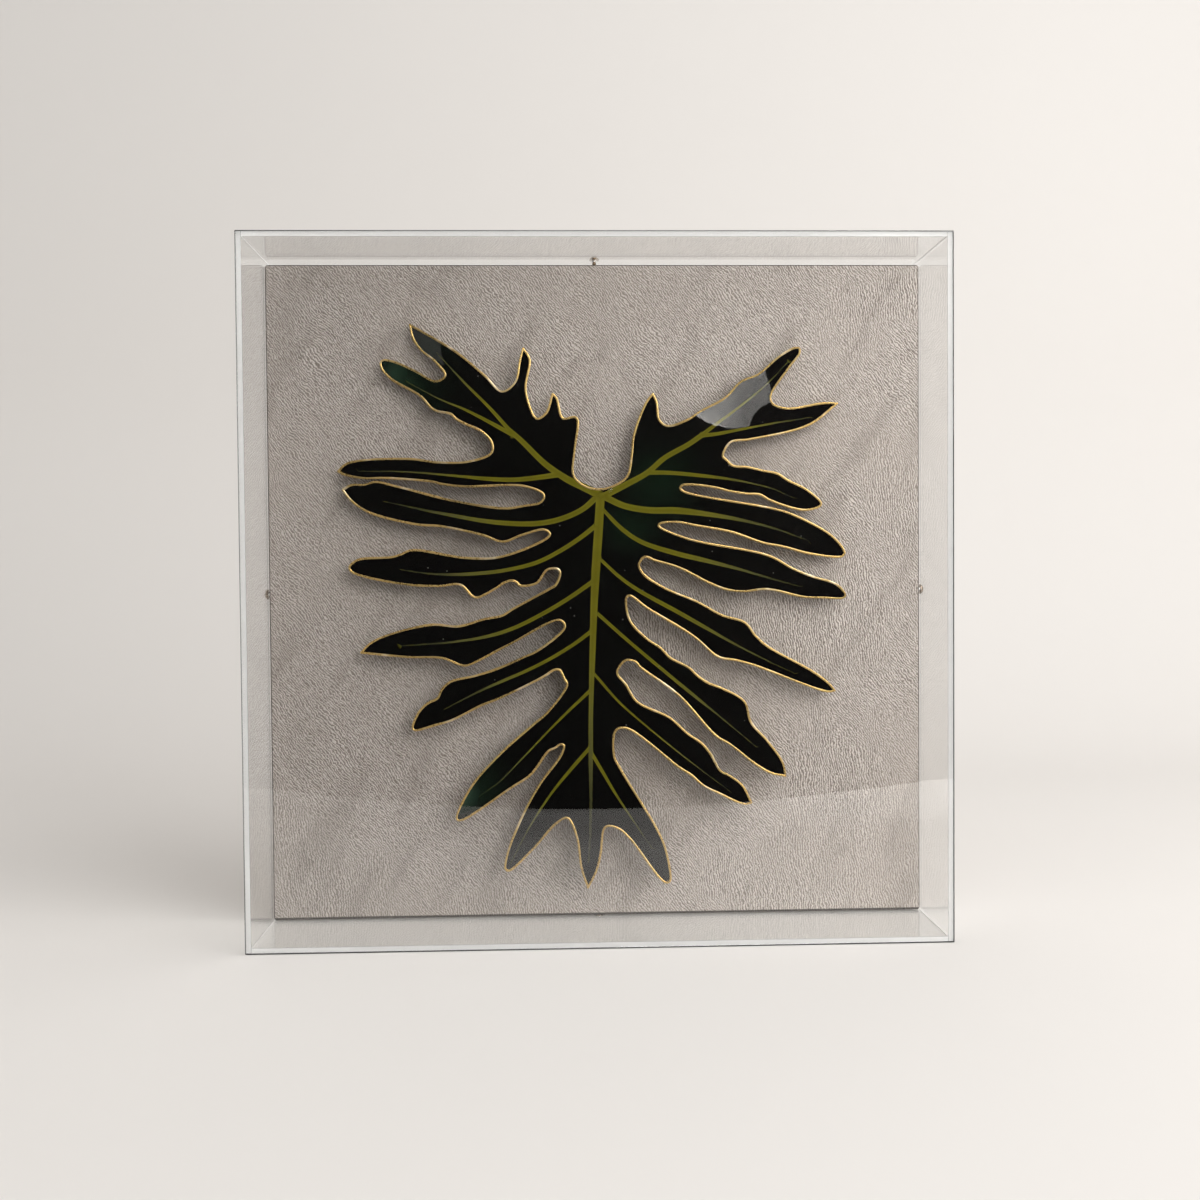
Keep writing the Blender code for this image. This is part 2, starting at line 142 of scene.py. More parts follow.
def meshPiece(name, verts, faces):
    mesh = bpy.data.meshes.new(name)
    mesh.from_pydata(verts, [], faces)
    mesh.validate()
    piece = bpy.data.objects.new(name, mesh)
    bpy.context.scene.collection.objects.link(piece)
    return piece


def spinPiece(profile, sides=48):
    # turns (radius, height) points about Z
    piece = meshPiece("spun", [(radius, 0, height) for radius, height in profile], [])
    piece.data.edges.add(len(profile) - 1)
    for index, edge in enumerate(piece.data.edges):
        edge.vertices = (index, index + 1)
    pick(piece, lambda vert: True, "VERT")
    bpy.ops.mesh.select_all(action="SELECT")
    bpy.ops.mesh.spin(steps=sides, angle=2 * math.pi, center=(0, 0, 0), axis=(0, 0, 1))
    bpy.ops.mesh.select_all(action="SELECT")
    bpy.ops.mesh.remove_doubles(threshold=0.00001)
    objectMode()
    fixNormals(piece)
    return piece


# Small helpers for materials

def plug(tree, socket, value):
    if isinstance(value, bpy.types.NodeSocket):
        tree.links.new(value, socket)
    else:
        socket.default_value = value


def addNode(tree, kind, inputs=None, **settings):
    # one shader node; inputs maps a socket's name or number to a value or another socket
    made = tree.nodes.new("ShaderNode" + kind)
    for key, value in settings.items():
        setattr(made, key, value)
    for key, value in (inputs or {}).items():
        plug(tree, made.inputs[key], value)
    return made


def calc(tree, operation, first, second=0.0):
    return addNode(tree, "Math", {0: first, 1: second}, operation=operation).outputs[0]


def remap(tree, value, low, high, outLow=0.0, outHigh=1.0):
    # a soft step from outLow to outHigh as the value goes from low to high
    made = addNode(tree, "MapRange", {"Value": value, "From Min": low, "From Max": high,
                                      "To Min": outLow, "To Max": outHigh},
                   interpolation_type="SMOOTHSTEP")
    return made.outputs["Result"]


def mixColours(tree, share, first, second):
    return addNode(tree, "Mix", {0: share, 6: first, 7: second}, data_type="RGBA").outputs[2]


def layColours(tree, colour, *layers):
    # lays each (share, colour) over what is there
    for share, over in layers:
        colour = mixColours(tree, share, colour, over)
    return colour


def noiseAt(tree, place, scale, detail, roughness=0.5, distortion=0.0):
    made = addNode(tree, "TexNoise", {"Vector": place, "Scale": scale, "Detail": detail,
                                      "Roughness": roughness, "Distortion": distortion})
    return made.outputs["Fac"]


def newMaterial(name, **values):
    material = bpy.data.materials.new(name)
    material.use_nodes = True
    shader = material.node_tree.nodes["Principled BSDF"]
    for key, value in values.items():
        shader.inputs[key.replace("_", " ")].default_value = value
    return material, material.node_tree, shader


def bumpNormal(tree, height, distance):
    return addNode(tree, "Bump", {"Distance": distance, "Height": height}).outputs["Normal"]


def setFinish(tree, shader, colour, roughness, normal=None):
    plug(tree, shader.inputs["Base Color"], colour)
    plug(tree, shader.inputs["Roughness"], roughness)
    if normal is not None:
        plug(tree, shader.inputs["Normal"], normal)


def objectCoords(tree, scale=(1, 1, 1), turn=(0, 0, 0)):
    coords = addNode(tree, "TexCoord").outputs["Object"]
    if scale == (1, 1, 1) and turn == (0, 0, 0):
        return coords
    return addNode(tree, "Mapping", {"Vector": coords, "Scale": scale,
                                     "Rotation": turn}).outputs["Vector"]


def leanPlace(tree, place, lean, length):
    # coordinates for marks that lean from upright and are drawn out along their length
    return addNode(tree, "Mapping", {"Vector": place, "Rotation": (0, lean, 0),
                                     "Scale": (1.0, 1.0, length)},
                   vector_type="TEXTURE").outputs[0]


# Shared effect: soft patches, fine smears and specks of dust on anything polished
handlingShape = {"fineness": 14.0, "speck": (0.10, 0.22)}
handlingInputs = ("Base", "Spread", "Size", "Specks", "Share")
handlingOf = {
    "acrylic": (0.0, 0.003, 9.0, 300.0, 0.004),
    "leaf": (0.4, 0.3, 26.0, 420.0, 0.009),
    "gilt": (0.2, 0.35, 60.0, 700.0, 0.05),
    "bronze": (0.16, 0.4, 400.0, 2500.0, 0.06),
    "post": (0.45, 0.4, 200.0, 1500.0, 0.05),
}


def makeHandlingGroup():
    group = bpy.data.node_groups.new("handling", "ShaderNodeTree")
    addSocket = group.interface.new_socket
    addSocket(name="Vector", in_out="INPUT", socket_type="NodeSocketVector")
    for key in handlingInputs:
        addSocket(name=key, in_out="INPUT", socket_type="NodeSocketFloat")
    for key in ("Roughness", "Dust", "Patches"):
        addSocket(name=key, in_out="OUTPUT", socket_type="NodeSocketFloat")
    given = group.nodes.new("NodeGroupInput").outputs
    result = group.nodes.new("NodeGroupOutput").inputs
    coords, size = given["Vector"], given["Size"]
    patches = noiseAt(group, coords, size, 4.0, 0.6)
    smear = noiseAt(group, coords, calc(group, "MULTIPLY", size, handlingShape["fineness"]), 3.0)
    spread = calc(group, "MULTIPLY", calc(group, "MULTIPLY", patches, smear), given["Spread"])
    specks = addNode(group, "TexVoronoi", {"Vector": coords, "Scale": given["Specks"]}).outputs
    chosen = addNode(group, "TexWhiteNoise", {"Vector": specks["Position"]}).outputs["Value"]
    near = remap(group, specks["Distance"], *handlingShape["speck"], 1.0, 0.0)
    rare = calc(group, "LESS_THAN", chosen, given["Share"])
    plug(group, result["Roughness"], calc(group, "ADD", given["Base"], spread))
    plug(group, result["Dust"], calc(group, "MULTIPLY", near, rare))
    plug(group, result["Patches"], patches)
    return group


handlingGroup = makeHandlingGroup()


def addHandling(tree, finish):
    made = tree.nodes.new("ShaderNodeGroup")
    made.node_tree = handlingGroup
    plug(tree, made.inputs["Vector"], objectCoords(tree))
    for key, value in zip(handlingInputs, handlingOf[finish]):
        plug(tree, made.inputs[key], value)
    return made.outputs


# Finishes

panelLow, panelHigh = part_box("board_cover")
panelMiddle = (panelLow + panelHigh) / 2
panelHalf = (panelHigh.x - panelLow.x) / 2

acrylicLook = {"tint": (1.0, 1.0, 0.998, 1), "ior": 1.49, "shadow": (0.87, 0.872, 0.87, 1),
               "frost": 240.0, "frosted": (0.3, 0.6)}


def passShadowRays(tree, shader):
    clear = addNode(tree, "BsdfTransparent", {"Color": acrylicLook["shadow"]})
    path = addNode(tree, "LightPath")
    mix = addNode(tree, "MixShader", {0: path.outputs["Is Shadow Ray"],
                                      1: shader.outputs["BSDF"], 2: clear.outputs["BSDF"]})
    tree.links.new(mix.outputs[0], tree.nodes["Material Output"].inputs["Surface"])


def makeAcrylic():
    material, tree, shader = newMaterial("polished clear acrylic", IOR=acrylicLook["ior"],
                                         Transmission_Weight=1.0, Base_Color=acrylicLook["tint"])
    plug(tree, shader.inputs["Roughness"], addHandling(tree, "acrylic")["Roughness"])
    # shadow rays pass straight through, so that the panel is lit as through real clear sheet
    passShadowRays(tree, shader)
    return material


def makeAcrylicEdge(name, clearness, low, high, shine):
    # the ends of the walls are dulled by bonding; the edge of the front is painted near black, as
    # painted shade for the dark look of its edge
    material, tree, shader = newMaterial(name, IOR=acrylicLook["ior"],
                                         Transmission_Weight=clearness,
                                         Specular_IOR_Level=shine)
    frost = noiseAt(tree, objectCoords(tree), acrylicLook["frost"], 3.0)
    colour = mixColours(tree, frost, (low, low, low * 0.99, 1), (high, high, high * 0.99, 1))
    setFinish(tree, shader, colour, remap(tree, frost, 0.2, 0.8, *acrylicLook["frosted"]))
    passShadowRays(tree, shader)
    return material


# the edge colour and the fold, crease and left-side shares are painted shade
coverLook = {"light": (0.66, 0.6, 0.553, 1), "dark": (0.24, 0.207, 0.178, 1),
             "warm": (0.46, 0.405, 0.358, 1), "edge": (0.06, 0.05, 0.042, 1),
             "ribs": ((-0.7, 1650.0), (-0.12, 1567.5)), "ribLength": 1.35, "bandShare": 0.42,
             "wander": 42.0, "bend": 0.008, "region": 14.0, "tone": 9.0, "toneShare": 0.45,
             "folds": 50.0, "foldLean": 0.55, "foldLength": 4.0, "foldShade": 0.3,
             "creases": 17.0, "creaseWidth": 0.012, "creaseShade": 0.35, "creaseDepth": 0.8,
             "paintedLeftShade": 0.24, "relief": 0.00027}


def wanderingPlace(tree, coords):
    # moves each point a few millimetres, so that the ribs are crooked
    wander = addNode(tree, "TexNoise", {"Vector": coords, "Scale": coverLook["wander"],
                                        "Detail": 2.0})
    offset = addNode(tree, "VectorMath", {0: wander.outputs["Color"], 1: (0.5, 0.5, 0.5)},
                     operation="SUBTRACT")
    bent = addNode(tree, "VectorMath", {0: offset.outputs[0], "Scale": coverLook["bend"]},
                   operation="SCALE")
    return addNode(tree, "VectorMath", {0: coords, 1: bent.outputs[0]},
                   operation="ADD").outputs[0]


def coverRibs(tree, place, lean, pitch):
    # bands of ribs, broken up by a noise of about their own size
    turned = leanPlace(tree, place, lean, coverLook["ribLength"])
    bands = addNode(tree, "TexWave", {"Vector": turned, "Scale": pitch * 0.135,
                                      "Distortion": 3.8, "Detail": 0.0, "Detail Scale": 3.0})
    return addNode(tree, "Mix", {0: coverLook["bandShare"], 2: noiseAt(tree, turned, pitch, 0.0),
                                 3: bands.outputs["Fac"]}, data_type="FLOAT").outputs[0]


def coverCreases(tree, region):
    # faint lines where a slow noise crosses its middle, in a few regions only
    wave = noiseAt(tree, objectCoords(tree, (1.0, 1.0, 0.35), (0, 0.35, 0)),
                   coverLook["creases"], 5.0, 0.55, 1.4)
    gap = calc(tree, "ABSOLUTE", calc(tree, "SUBTRACT", wave, 0.5))
    line = remap(tree, gap, 0.0, coverLook["creaseWidth"], 1.0, 0.0)
    return calc(tree, "MULTIPLY", line, remap(tree, region, 0.55, 0.70))


def coverEdgeShade(tree, across, depth, up):
    # painted shade: the turned edge of the cover is darkened where it falls into shadow, most of
    # all below
    outward = calc(tree, "MAXIMUM", calc(tree, "ABSOLUTE", across), calc(tree, "ABSOLUTE", up))
    rim = remap(tree, outward, panelHalf - 0.8 * mm, panelHalf - 0.3 * mm)
    below = remap(tree, up, 1.7 * mm - panelHalf, 1.1 * mm - panelHalf)
    nearFront = remap(tree, depth, panelLow.y + 0.8 * mm, panelLow.y + 1.6 * mm, 1.0, 0.0)
    return calc(tree, "MULTIPLY", calc(tree, "MAXIMUM", rim, below), nearFront)


def makeCoverGrain():
    # crepe grain: short crooked ribs, with soft folds and faint creases; the folds, the creases,
    # the left side and the turned edge are darkened as painted shade
    look = coverLook
    material, tree, shader = newMaterial("grained taupe cover", Specular_IOR_Level=0.35)
    coords = objectCoords(tree)
    place = wanderingPlace(tree, coords)
    region = noiseAt(tree, coords, look["region"], 3.0)
    across, depth, height = addNode(tree, "SeparateXYZ", {0: coords}).outputs[:3]
    up = calc(tree, "SUBTRACT", height, panelMiddle.z)
    # the ribs lean at the top left and stand nearly upright at the lower right
    leaning, upright = [coverRibs(tree, place, *rib) for rib in look["ribs"]]
    lowerRight = calc(tree, "MULTIPLY", calc(tree, "SUBTRACT", across, up), 0.5)
    swap = remap(tree, calc(tree, "ADD", region, lowerRight), 0.5, 0.62)
    grain = addNode(tree, "Mix", {0: swap, 2: leaning, 3: upright}, data_type="FLOAT").outputs[0]
    crisp = remap(tree, grain, 0.2, 0.8)
    creases = coverCreases(tree, region)
    tone = noiseAt(tree, coords, look["tone"], 4.0)
    folds = noiseAt(tree, leanPlace(tree, place, look["foldLean"], look["foldLength"]),
                    look["folds"], 2.0)
    colour = mixColours(tree, crisp, look["dark"], look["light"])
    colour = layColours(
        tree, colour,
        (remap(tree, tone, 0.35, 0.75, 0.0, look["toneShare"]), look["warm"]),
        # painted shade: the creases are painted darker, besides their real bump below
        (calc(tree, "MULTIPLY", creases, look["creaseShade"]), look["dark"]),
        # painted shade: soft folds are painted darker, with no relief of their own
        (remap(tree, folds, 0.5, 0.7, 0.0, look["foldShade"]), look["dark"]),
        # painted shade: darker towards the left, as the light falls from the right
        (remap(tree, across, -panelHalf, panelHalf, look["paintedLeftShade"], 0.0), (0, 0, 0, 1)),
        # painted shade along the turned edge, in the edge colour
        (coverEdgeShade(tree, across, depth, up), look["edge"]))
    relief = calc(tree, "SUBTRACT", crisp, calc(tree, "MULTIPLY", creases, look["creaseDepth"]))
    setFinish(tree, shader, colour, remap(tree, crisp, 0.0, 1.0, 0.75, 0.52),
              bumpNormal(tree, relief, look["relief"]))
    return material


boardLook = {"deep": (0.20, 0.125, 0.07, 1), "pale": (0.36, 0.245, 0.15, 1),
             "patch": (0.27, 0.17, 0.10, 1), "fleck": (0.13, 0.08, 0.05, 1),
             "fibres": 900.0, "patches": 30.0, "flecks": 420.0, "relief": 0.0001}


def makeFibreboard():
    look = boardLook
    material, tree, shader = newMaterial("bare fibreboard", Specular_IOR_Level=0.25)
    fibres = noiseAt(tree, objectCoords(tree, (1, 1, 0.25), (0, 0.4, 0)), look["fibres"], 6.0, 0.7)
    patches = noiseAt(tree, objectCoords(tree), look["patches"], 4.0)
    flecks = addNode(tree, "TexVoronoi", {"Vector": objectCoords(tree, (1, 1, 0.3), (0, 1.1, 0)),
                                          "Scale": look["flecks"]})
    colour = layColours(
        tree, look["deep"], (remap(tree, fibres, 0.3, 0.7), look["pale"]),
        (remap(tree, patches, 0.35, 0.7, 0.0, 0.4), look["patch"]),
        (remap(tree, flecks.outputs["Distance"], 0.0, 0.16, 0.5, 0.0), look["fleck"]))
    setFinish(tree, shader, colour, remap(tree, fibres, 0.2, 0.8, 0.9, 0.7),
              bumpNormal(tree, fibres, look["relief"]))
    return material


leafLook = {"black": (0.0016, 0.0019, 0.0018, 1), "green": (0.006, 0.020, 0.009, 1),
            "teal": (0.045, 0.085, 0.06, 1), "vein": (0.14, 0.128, 0.012, 1),
            "veinCore": (0.10, 0.088, 0.005, 1), "veinTip": (0.11, 0.112, 0.045, 1),
            "dust": (0.22, 0.22, 0.20, 1), "coatRoughness": 0.012, "coatIor": 1.42}


def makeLeafGloss():
    # dried blade under a thick mirror-gloss coat; the veins are colour beneath the gloss
    look = leafLook
    material, tree, shader = newMaterial(
        "glossy black-green leaf", Coat_Weight=1.0, Coat_Roughness=look["coatRoughness"],
        Coat_IOR=look["coatIor"], Specular_IOR_Level=0.0)
    coords = objectCoords(tree)
    veins = addNode(tree, "Attribute", attribute_name="veins").outputs["Color"]
    cover, core, along = addNode(tree, "SeparateColor", {0: veins}).outputs[:3]
    tint = addNode(tree, "Attribute", attribute_name="tint").outputs["Color"]
    green, teal = addNode(tree, "SeparateColor", {0: tint}).outputs[:2]
    cloud = noiseAt(tree, coords, 24.0, 5.0, 0.6)
    green = calc(tree, "MULTIPLY", remap(tree, cloud, 0.35, 0.7, 0.35, 1.0), green)
    streaks = noiseAt(tree, coords, 160.0, 3.0)
    veinColour = layColours(
        tree, look["vein"], (calc(tree, "MULTIPLY", core, 0.75), look["veinCore"]),
        (remap(tree, streaks, 0.35, 0.7, 0.0, 0.35), look["veinCore"]),
        (remap(tree, along, 0.35, 0.95), look["veinTip"]))
    fade = remap(tree, along, 0.45, 1.0, 1.0, 0.22)
    handling = addHandling(tree, "leaf")
    colour = layColours(
        tree, look["black"], (green, look["green"]), (teal, look["teal"]),
        (calc(tree, "MULTIPLY", cover, fade), veinColour),
        (calc(tree, "MULTIPLY", handling["Dust"], 0.5), look["dust"]))
    setFinish(tree, shader, colour, handling["Roughness"])
    return material


# pale is a painted highlight; the darker gold is laid on in other patches
giltLook = {"bright": (0.62, 0.43, 0.165, 1), "darkerGold": (0.27, 0.20, 0.08, 1),
            "pale": (0.95, 0.82, 0.57, 1), "darkerPatches": 26.0, "pits": 1500.0, "relief": 0.00004}


def makeGilt():
    look = giltLook
    material, tree, shader = newMaterial("satin gilt edge", Metallic=1.0)
    coords = objectCoords(tree)
    handling = addHandling(tree, "gilt")
    darkerPatches = noiseAt(tree, coords, look["darkerPatches"], 3.0)
    pits = noiseAt(tree, coords, look["pits"], 3.0)
    colour = layColours(
        # darker gold laid on in patches
        tree, look["bright"], (remap(tree, darkerPatches, 0.42, 0.68, 0.0, 0.6), look["darkerGold"]),
        # painted highlight: pale patches stand in for bright reflections on the bead
        (remap(tree, handling["Patches"], 0.55, 0.72, 0.0, 0.7), look["pale"]))
    setFinish(tree, shader, colour, handling["Roughness"],
              bumpNormal(tree, pits, look["relief"]))
    return material


bronzeLook = {"deep": (0.16, 0.105, 0.065, 1), "bright": (0.42, 0.32, 0.22, 1),
              "relief": 0.00003}


def makeBronze():
    look = bronzeLook
    material, tree, shader = newMaterial("aged bronze screw", Metallic=1.0)
    handling = addHandling(tree, "bronze")
    patches = handling["Patches"]
    colour = mixColours(tree, remap(tree, patches, 0.35, 0.65), look["deep"], look["bright"])
    setFinish(tree, shader, colour, handling["Roughness"],
              bumpNormal(tree, patches, look["relief"]))
    return material


postLook = {"dark": (0.02, 0.02, 0.02, 1), "pale": (0.05, 0.048, 0.045, 1)}


def makePostRubber():
    material, tree, shader = newMaterial("dark post", Specular_IOR_Level=0.3)
    handling = addHandling(tree, "post")
    colour = mixColours(tree, handling["Patches"], postLook["dark"], postLook["pale"])
    setFinish(tree, shader, colour, handling["Roughness"])
    return material


acrylic = makeAcrylic()
bondedEdge = makeAcrylicEdge("bonded acrylic edge", 0.2, 0.93, 1.0, 0.5)
# painted shade: the front sheet's edge is painted near black
paintedShadeEdge = makeAcrylicEdge("dark acrylic edge", 0.0, 0.008, 0.03, 0.1)
coverGrain = makeCoverGrain()
fibreboard = makeFibreboard()
leafGloss = makeLeafGloss()
gilt = makeGilt()
bronze = makeBronze()
postRubber = makePostRubber()
print("finishes made")


# Clear sheets: the front is bowed in a little, and the walls are drilled for the screws
sheetShape = {"bow": 4.2 * mm, "cells": 28, "bevel": 0.48 * mm, "wallBevel": 0.14 * mm,
              "joint": 0.25 * mm, "hole": 1.5 * mm, "drillFrom": -9 * mm, "drillTo": 2 * mm,
              "sinkWidth": 3.3 * mm, "sinkFrom": -1.9 * mm, "sinkTo": -0.5 * mm,
              "sides": 32, "smooth": 12, "corner": 60}


def makeFrontSheet():
    shape = sheetShape
    low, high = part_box("front_sheet")
    deselectAll()
    bpy.ops.mesh.primitive_grid_add(x_subdivisions=shape["cells"], y_subdivisions=shape["cells"],
                                    size=1, rotation=(math.pi / 2, 0, 0),
                                    location=((low.x + high.x) / 2, low.y, (low.z + high.z) / 2))
    sheet = bpy.context.object
    sheet.scale = (high.x - low.x, high.z - low.z, 1)
    applyPlace(sheet)
    for vert in sheet.data.vertices:
        across = 2 * (vert.co.x - low.x) / (high.x - low.x) - 1
        up = 2 * (vert.co.z - low.z) / (high.z - low.z) - 1
        vert.co.y += shape["bow"] * (1 - across ** 2) * (1 - up ** 2)
    addModifier(sheet, "SOLIDIFY", thickness=high.y - low.y, offset=-1)
    fixNormals(sheet)
    bevelCorners(sheet, shape["bevel"], 3, shape["corner"])
    smoothShade(sheet, shape["smooth"])
    finishPiece(sheet, "clear_front", acrylic, ["front_sheet"])
    # the edge faces of the front take the near-black painted shade
    finishFaces(sheet, paintedShadeEdge, lambda normal: abs(normal.y) < 0.85)


def drillProfile(sunk):
    shape = sheetShape
    start, end, radius = shape["drillFrom"], shape["drillTo"], shape["hole"]
    profile = [(0, start), (radius, start)]
    if sunk:
        profile += [(radius, shape["sinkFrom"]), (shape["sinkWidth"], shape["sinkTo"]),
                    (shape["sinkWidth"], end)]
    else:
        profile.append((radius, end))
    return profile + [(0, end)]


# The ends of these two walls are bonded to the other two, which they stand between
endOn = ("top", "bottom")


def makeWall(side, sunk):
    # a wall reaches almost to the front sheet, as where it is glued on
    shape = sheetShape
    low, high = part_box(side + "_sheet")
    low.y -= shape["joint"]
    if side in endOn:
        low.x -= shape["joint"]
        high.x += shape["joint"]
    wall = addCube(low, high)
    drill = spinPiece(drillProfile(sunk), shape["sides"])
    drill.location, drill.rotation_euler = screwPlaces[side]
    applyPlace(drill)
    cutAway(wall, drill)
    bevelCorners(wall, shape["wallBevel"], 3, shape["corner"])
    smoothShade(wall, shape["smooth"])
    finishPiece(wall, "clear_" + side, acrylic, [side + "_sheet"])
    finishFaces(wall, bondedEdge, lambda normal: abs(normal.y) > 0.9
                or (abs(normal.x) > 0.9 and side in endOn))


screwLow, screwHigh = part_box("screw_top")
screwY = (screwLow.y + screwHigh.y) / 2
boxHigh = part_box("front_sheet")[1]
screwPlaces = {
    "left": ((-boxHigh.x, screwY, panelMiddle.z), (0, -math.pi / 2, 0)),
    "right": ((boxHigh.x, screwY, panelMiddle.z), (0, math.pi / 2, 0)),
    "top": ((0, screwY, boxHigh.z), (0, 0, 0)),
    "bottom": ((0, screwY, 0), (math.pi, 0, 0)),
}

makeFrontSheet()
for side in screwPlaces:
    makeWall(side, sunk=side == "bottom")
print("clear sheets made")


# Screws: a domed head with a cross recess on three sides, a sunk one in the base
screwShape = {"head": 3.0 * mm, "headFoot": 0.97, "dome": 2.1 * mm, "seat": 0.3 * mm,
              "domeSteps": 10, "domeFrom": 4, "domeStep": 9.5, "sunkBack": 0.2 * mm,
              "tip": 0.25 * mm, "taper": 2 * mm, "shank": 1.2 * mm, "length": 14 * mm,
              "thread": 0.9 * mm, "root": 0.93 * mm, "neck": 0.6 * mm, "sides": 48,
              "recess": 0.75 * mm, "recessReach": 1.75 * mm, "recessDepth": 1.1 * mm,
              "bevel": 0.07 * mm}


def shankProfile(top):
    shape = screwShape
    height = shape["taper"] - shape["length"]
    profile = [(0, -shape["length"]), (shape["tip"], -shape["length"]), (shape["root"], height)]
    while height + shape["thread"] < top - shape["neck"]:
        profile += [(shape["shank"], height + 0.45 * shape["thread"]),
                    (shape["shank"], height + 0.55 * shape["thread"]),
                    (shape["root"], height + shape["thread"])]
        height += shape["thread"]
    profile.append((shape["shank"], top))
    return profile


def headProfile(sunk):
    # the outline of the head, and the height of its top
    shape = screwShape
    if sunk:
        top = -shape["sunkBack"]
        return [(shape["head"], sheetShape["sinkTo"]), (shape["head"], top)], top
    profile = [(shape["head"] * shape["headFoot"], shape["seat"])]
    for step in range(shape["domeSteps"]):
        angle = math.radians(shape["domeFrom"] + step * shape["domeStep"])
        profile.append((shape["head"] * math.cos(angle),
                        shape["seat"] + shape["dome"] * math.sin(angle)))
    return profile, shape["seat"] + shape["dome"]


def makeScrew(side, sunk):
    shape = screwShape
    head, top = headProfile(sunk)
    shank = shankProfile(sheetShape["sinkFrom"] if sunk else shape["seat"])
    screw = spinPiece(shank + head + [(0, top)], shape["sides"])
    reach, half = shape["recessReach"], shape["recess"] / 2
    for low, high in (((-reach, -half), (reach, half)), ((-half, -reach), (half, reach))):
        cutAway(screw, addCube((*low, top - shape["recessDepth"]), (*high, top + 1 * mm)))
    bevelCorners(screw, shape["bevel"], 2, 50)
    smoothShade(screw)
    screw.location, screw.rotation_euler = screwPlaces[side]
    finishPiece(screw, side + "_screw", bronze, ["screw_" + side])


for side in ("top", "left", "right", "bottom"):
    makeScrew(side, sunk=side == "bottom")
print("screws made")


# Cover: a thin skin pulled over the board, folded in at the back with mitred corners
coverShape = {"skin": 1 * mm, "margin": 22 * mm, "corner": 1.7 * mm, "edge": 0.35 * mm,
              "inset": 1 * mm, "seam": 0.35 * mm, "cells": 64, "cellsFrom": 6 * mm,
              "wave": 0.12 * mm, "waveFrom": 5 * mm, "waveFade": 12 * mm}
same = 0.001 * mm


def allAt(edge, y):
    return all(abs(vert.co.y - y) < same for vert in edge.verts)


def foldBack(cover, high):
    # opens the back, and turns the mitred folds at its corners into narrow grooves
    pick(cover, lambda face: face.normal.y > 0.9)
    bpy.ops.mesh.inset(thickness=coverShape["margin"], depth=0)
    bpy.ops.mesh.delete(type="FACE")
    objectMode()
    pick(cover, lambda edge: allAt(edge, high.y)
         and abs(abs(edge.verts[0].co.x - edge.verts[1].co.x)
                 - abs(edge.verts[0].co.z - edge.verts[1].co.z)) < 10 * same, "EDGE")
    bpy.ops.mesh.bevel(offset=coverShape["seam"], segments=2, profile=0.5)
    objectMode()
    for vert in cover.data.vertices:
        diagonal = abs(abs(vert.co.x - panelMiddle.x) - abs(vert.co.z - panelMiddle.z))
        if abs(vert.co.y - high.y) < same and diagonal < same:
            vert.co.y -= coverShape["seam"]


def roundEdges(cover, low):
    pick(cover, lambda edge: abs(edge.verts[0].co.y - edge.verts[1].co.y) > 3 * mm, "EDGE")
    bpy.ops.mesh.bevel(offset=coverShape["corner"], segments=4)
    objectMode()
    pick(cover, lambda edge: allAt(edge, low.y), "EDGE")
    bpy.ops.mesh.bevel(offset=coverShape["edge"], segments=2)
    objectMode()


def waveFront(cover, low, high):
    # cuts the front into cells and gives it faint waves that fade towards its edges
    shape = coverShape
    pick(cover, lambda face: face.normal.y < -0.99 and face.calc_area() > 0.01)
    bpy.ops.mesh.inset(thickness=shape["inset"], depth=0)
    objectMode()
    for axis, normal in ((0, (1, 0, 0)), (2, (0, 0, 1))):
        start, end = low[axis] + shape["cellsFrom"], high[axis] - shape["cellsFrom"]
        for step in range(shape["cells"] + 1):
            place = [0, low.y, 0]
            place[axis] = start + (end - start) * step / shape["cells"]
            pick(cover, lambda face: face.normal.y < -0.99)
            bpy.ops.mesh.bisect(plane_co=place, plane_no=normal)
            objectMode()
    for vert in cover.data.vertices:
        inside = min(vert.co.x - low.x, high.x - vert.co.x, vert.co.z - low.z, high.z - vert.co.z)
        if vert.co.y < low.y + same and inside > shape["waveFrom"]:
            fade = min(1, (inside - shape["waveFrom"]) / shape["waveFade"])
            wave = noise.noise(vert.co * 26) + 0.5 * noise.noise(vert.co * 70)
            vert.co.y += shape["wave"] * fade * (wave * 0.5 + 0.5)


def makeCover():
    cover = addCube(panelLow, panelHigh)
    foldBack(cover, panelHigh)
    roundEdges(cover, panelLow)
    waveFront(cover, panelLow, panelHigh)
    addModifier(cover, "SOLIDIFY", thickness=coverShape["skin"], offset=-1)
    smoothShade(cover, 40)
    finishPiece(cover, "grained_panel", coverGrain, ["board_cover"])


makeCover()
cadNodes["backing_board"].data.materials.clear()
cadNodes["backing_board"].data.materials.append(fibreboard)
print("board and cover made")


